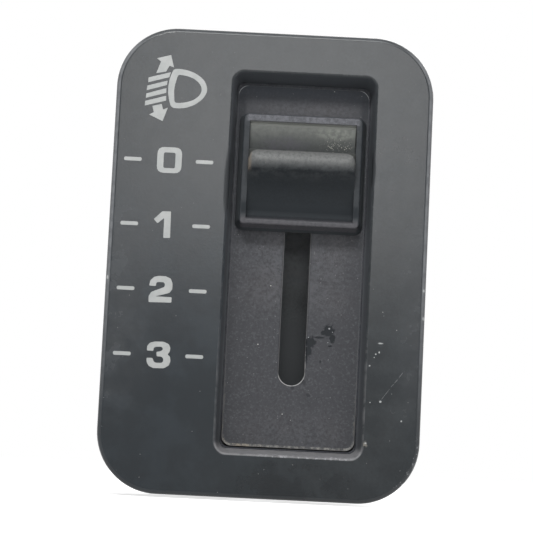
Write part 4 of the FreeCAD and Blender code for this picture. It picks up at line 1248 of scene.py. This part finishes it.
def ridge_fringe(place):
    # under the ridge the pale wear and painted highlight end in a ragged edge
    x, _, z = axes(place)
    ragged = ramp(cloud(place, 0.9, 5.0, 0.7), 0.35, 0.7, 0.2, 1.0)
    return both(band(x, -3.2, 11.3, 0.1), ramp(z, 10.9, 13.0), ramp(z, 14.0, 14.5, 1.0, 0.0), ragged)


def ridge_end(place):
    x, y, z = axes(place)
    worn = ramp(cloud(place, 1.2, 4.0, 0.7), 0.35, 0.6, 0.1, 0.55)
    along = both(band(x, -3.3, -2.8, 0.25), band(z, 12.4, 15.2, 0.4))
    return both(along, ramp(y, -3.0, -3.4), worn)


def dish_specks(place):
    right = patch(place, (8.7, 16.6), (1.9, 0.95), 0.5, 0.5, 1.4)
    return both(specks(place, 0.17, 0.042, 0.5, 6.0), right)


def dish_side_shade(place):
    # painted shade: thin dark lines along the two ends of the upper dish, where it meets the frame
    x, y, z = axes(place)
    left = both(band(x, -3.28, -3.12, 0.04), 0.35)
    sides = most(left, band(x, 11.22, 11.38, 0.04))
    return both(sides, band(z, 16.4, 18.8, 0.5), ramp(y, -2.95, -2.75))


def knob_lips(place):
    worn = ramp(cloud(place, 1.0, 4.0, 0.6), 0.3, 0.6, 0.4, 1.0)
    return both(band(knob_edge(place), -0.85, 0.02, 0.06), ramp(y_of(place), -2.3, -2.7), worn)


def top_lip_painted_light(place):
    # painted light: the upper lip and the inner wall under it, which faces down, are painted pale, lifting
    # their shade
    x, y, z = axes(place)
    fine = ramp(cloud(place, 2.0, 5.0, 0.75), 0.35, 0.65, 0.45, 1.0)
    return both(band(x, -3.6, 11.7, 0.3), ramp(z, 19.3, 19.5), ramp(y, -1.6, -2.0), fine)


def low_lip_wear_and_light(place):
    # the thumb has rubbed the lower lip and the end of the dish that runs up to it; both are also painted
    # paler as painted light, lifting the shade of the dish's steep end
    x, y, z = axes(place)
    across = both(band(x, *lip_sides, 0.15), ramp(y, -0.9, -1.3))
    upright = both(ramp(z, 4.75, 5.0), ramp(z, 5.8, 6.8, 1.0, 0.0))
    fine = ramp(cloud(place, 2.4, 5.0, 0.75), 0.3, 0.62, 0.45, 1.0)
    return both(across, upright, fine)


def valley_grime(place):
    # skin grease has darkened the bend between the lower dish and its lip
    x, y, z = axes(place)
    return both(band(x, *lip_sides, 0.15), band(z, 6.75, 8.3, 0.3), ramp(y, -0.9, -1.3))


def knob_flanks_painted_light(place):
    # painted light: the sides of the block, dull, are painted paler, lifting their shade
    return ramp(knob_edge(place), 0.0, 0.12)


def knob_sides(place):
    # dust that the window's edge has rubbed off on the two narrow sides
    x, _, z = axes(place)
    away = calc("ABSOLUTE", calc("SUBTRACT", x, slide_x))
    return both(ramp(away, 8.08, 8.2), band(z, 5.9, 19.9, 0.4))


def low_lint(place):
    return specks(place, 0.8, 0.045, 0.1, 4.0)


knob_paint = moulded(
    "knob_acetal", (0.0092, 0.0122, 0.015), 0.45, 0.16, 3.4, 0.01, 0.1,
    [
        (knob_flanks_painted_light, (0.043, 0.048, 0.053), 0.7),
        (knob_sides, (0.06, 0.066, 0.071), 0.7),
        (knob_lips, (0.024, 0.0275, 0.031), 0.5),
        (upper_dish_wear_and_highlight, (0.117, 0.122, 0.114), 0.45),
        (dish_head_painted_light, (0.2, 0.207, 0.193), 0.5),
        (dish_shade, (0.062, 0.06, 0.07), 0.5),
        (dish_shine, (0.2, 0.212, 0.185), 0.45),
        (top_lip_painted_light, (0.1, 0.102, 0.114), 0.45),
        (ridge_fringe, (0.045, 0.049, 0.052), 0.5),
        (ridge_wear_and_highlight, (0.131, 0.134, 0.132), 0.5),
        (ridge_end, (0.22, 0.18, 0.14), 0.5),
        (ridge_corner_shade, (0.04, 0.042, 0.04), 0.5),
        (valley_grime, (0.0165, 0.0195, 0.0225), 0.8),
        (low_lip_wear_and_light, (0.064, 0.062, 0.068), 0.5),
        (dish_side_shade, (0.006, 0.006, 0.006), 0.6),
        (low_lint, (0.12, 0.12, 0.12), 0.8),
        (dish_specks, (0.34, 0.34, 0.3), 0.6),
    ],
)
dress(knob_paint, "knob")

# Panel clips. Two bent strips of spring steel, pushed into the rails above and below the
# case; their legs snap behind the panel and hold the switch in its opening.


def clip_rust(place):
    return ramp(cloud(place, 0.9, 6.0, 0.75, 0.5), 0.62, 0.76, 0.0, 0.5)


clip_paint = metal(
    "clip_steel", (0.5, 0.51, 0.53), 0.36, (6, 0.4, 6), 0.006, [(clip_rust, (0.24, 0.12, 0.06), 0.75)],
)
dress(clip_paint, "panel_clip_upper", "panel_clip_lower")

# Studio. A pale table under the part, a soft lamp above it and a weak one lower down, both
# in front, a broad lamp for the back, and the camera where the photograph was taken from.

table_gap = 0.0004
table_reach = 3
photo_width = 533
focal_pixels = 1875.1
sensor_width = 36.0


def seen_directly(owner):
    # 1 where a camera, mirror or glass ray looks, 0 for rays that only carry light
    rays = add(owner, "ShaderNodeLightPath").outputs
    return most(rays["Is Camera Ray"], rays["Is Glossy Ray"], rays["Is Transmission Ray"])


table = bpy.data.meshes.new("table")
table.from_pydata([
    (x * table_reach, y * table_reach, cad_low.z - table_gap)
    for x, y in ((-1, -1), (1, -1), (1, 1), (-1, 1))
], [], [(0, 1, 2, 3)])
table_piece = put_in_scene("table", table)
table_paint, shader, place = start("pale_table")
away = add(place, "ShaderNodeVectorMath", {0: place}, operation="LENGTH").outputs["Value"]
feed(shader, {
    "Base Color": (0.82, 0.82, 0.82, 1.0),
    "Roughness": 0.9,
    "Specular IOR Level": 0.0,
    "Emission Color": (1.0, 1.0, 1.0, 1.0),
    "Emission Strength": both(seen_directly(place), ramp(away, 120.0, 400.0, 0.72, 0.96)),
})
table.materials.append(table_paint)

world = bpy.data.worlds.new("studio")
world.use_nodes = True
bpy.context.scene.world = world
feed(world.node_tree.nodes["Background"], {
    "Color": (1.0, 1.0, 1.0, 1.0),
    "Strength": blend(seen_directly(world.node_tree), 0.11, 1.0),
})


def soft_lamp(name, place, aim, size, power):
    lamp = bpy.data.lights.new(name, "AREA")
    lamp.shape = "RECTANGLE"
    lamp.size, lamp.size_y = size
    lamp.energy = power
    holder = put_in_scene(name, lamp)
    holder.location = place
    holder.rotation_mode = "QUATERNION"
    holder.rotation_quaternion = (Vector(aim) - Vector(place)).to_track_quat("-Z", "Y")


soft_lamp("key", (-0.035, -0.262, 0.235), (0, 0, 0.004), (0.2, 0.07), 1.06)
soft_lamp("low", (0.004, -0.258, 0.08), (0, 0, 0.01), (0.12, 0.105), 0.25)
soft_lamp("rear", (0.25, 0.45, 0.35), (0, 0.01, 0), (0.5, 0.4), 2.8)

camera = bpy.data.cameras.new("photograph")
camera.sensor_width = sensor_width
camera.lens = focal_pixels / photo_width * sensor_width
camera.clip_start = 0.01
camera.clip_end = 20
viewer = put_in_scene("photograph", camera)
turn, tilt, roll = (math.radians(a) for a in (0.002, -6.11, 2.82))
back = Vector((math.sin(turn) * math.cos(tilt), -math.cos(turn) * math.cos(tilt), math.sin(tilt)))
right = Vector((math.cos(turn), math.sin(turn), 0))
up = back.cross(right)
right, up = right * math.cos(roll) + up * math.sin(roll), up * math.cos(roll) - right * math.sin(roll)
stand = Matrix((right, up, back)).transposed().to_4x4()
stand.translation = Vector((-0.000014, -0.254, -0.02728))
viewer.matrix_world = stand
bpy.context.scene.camera = viewer
bpy.context.scene.view_settings.view_transform = "Standard"
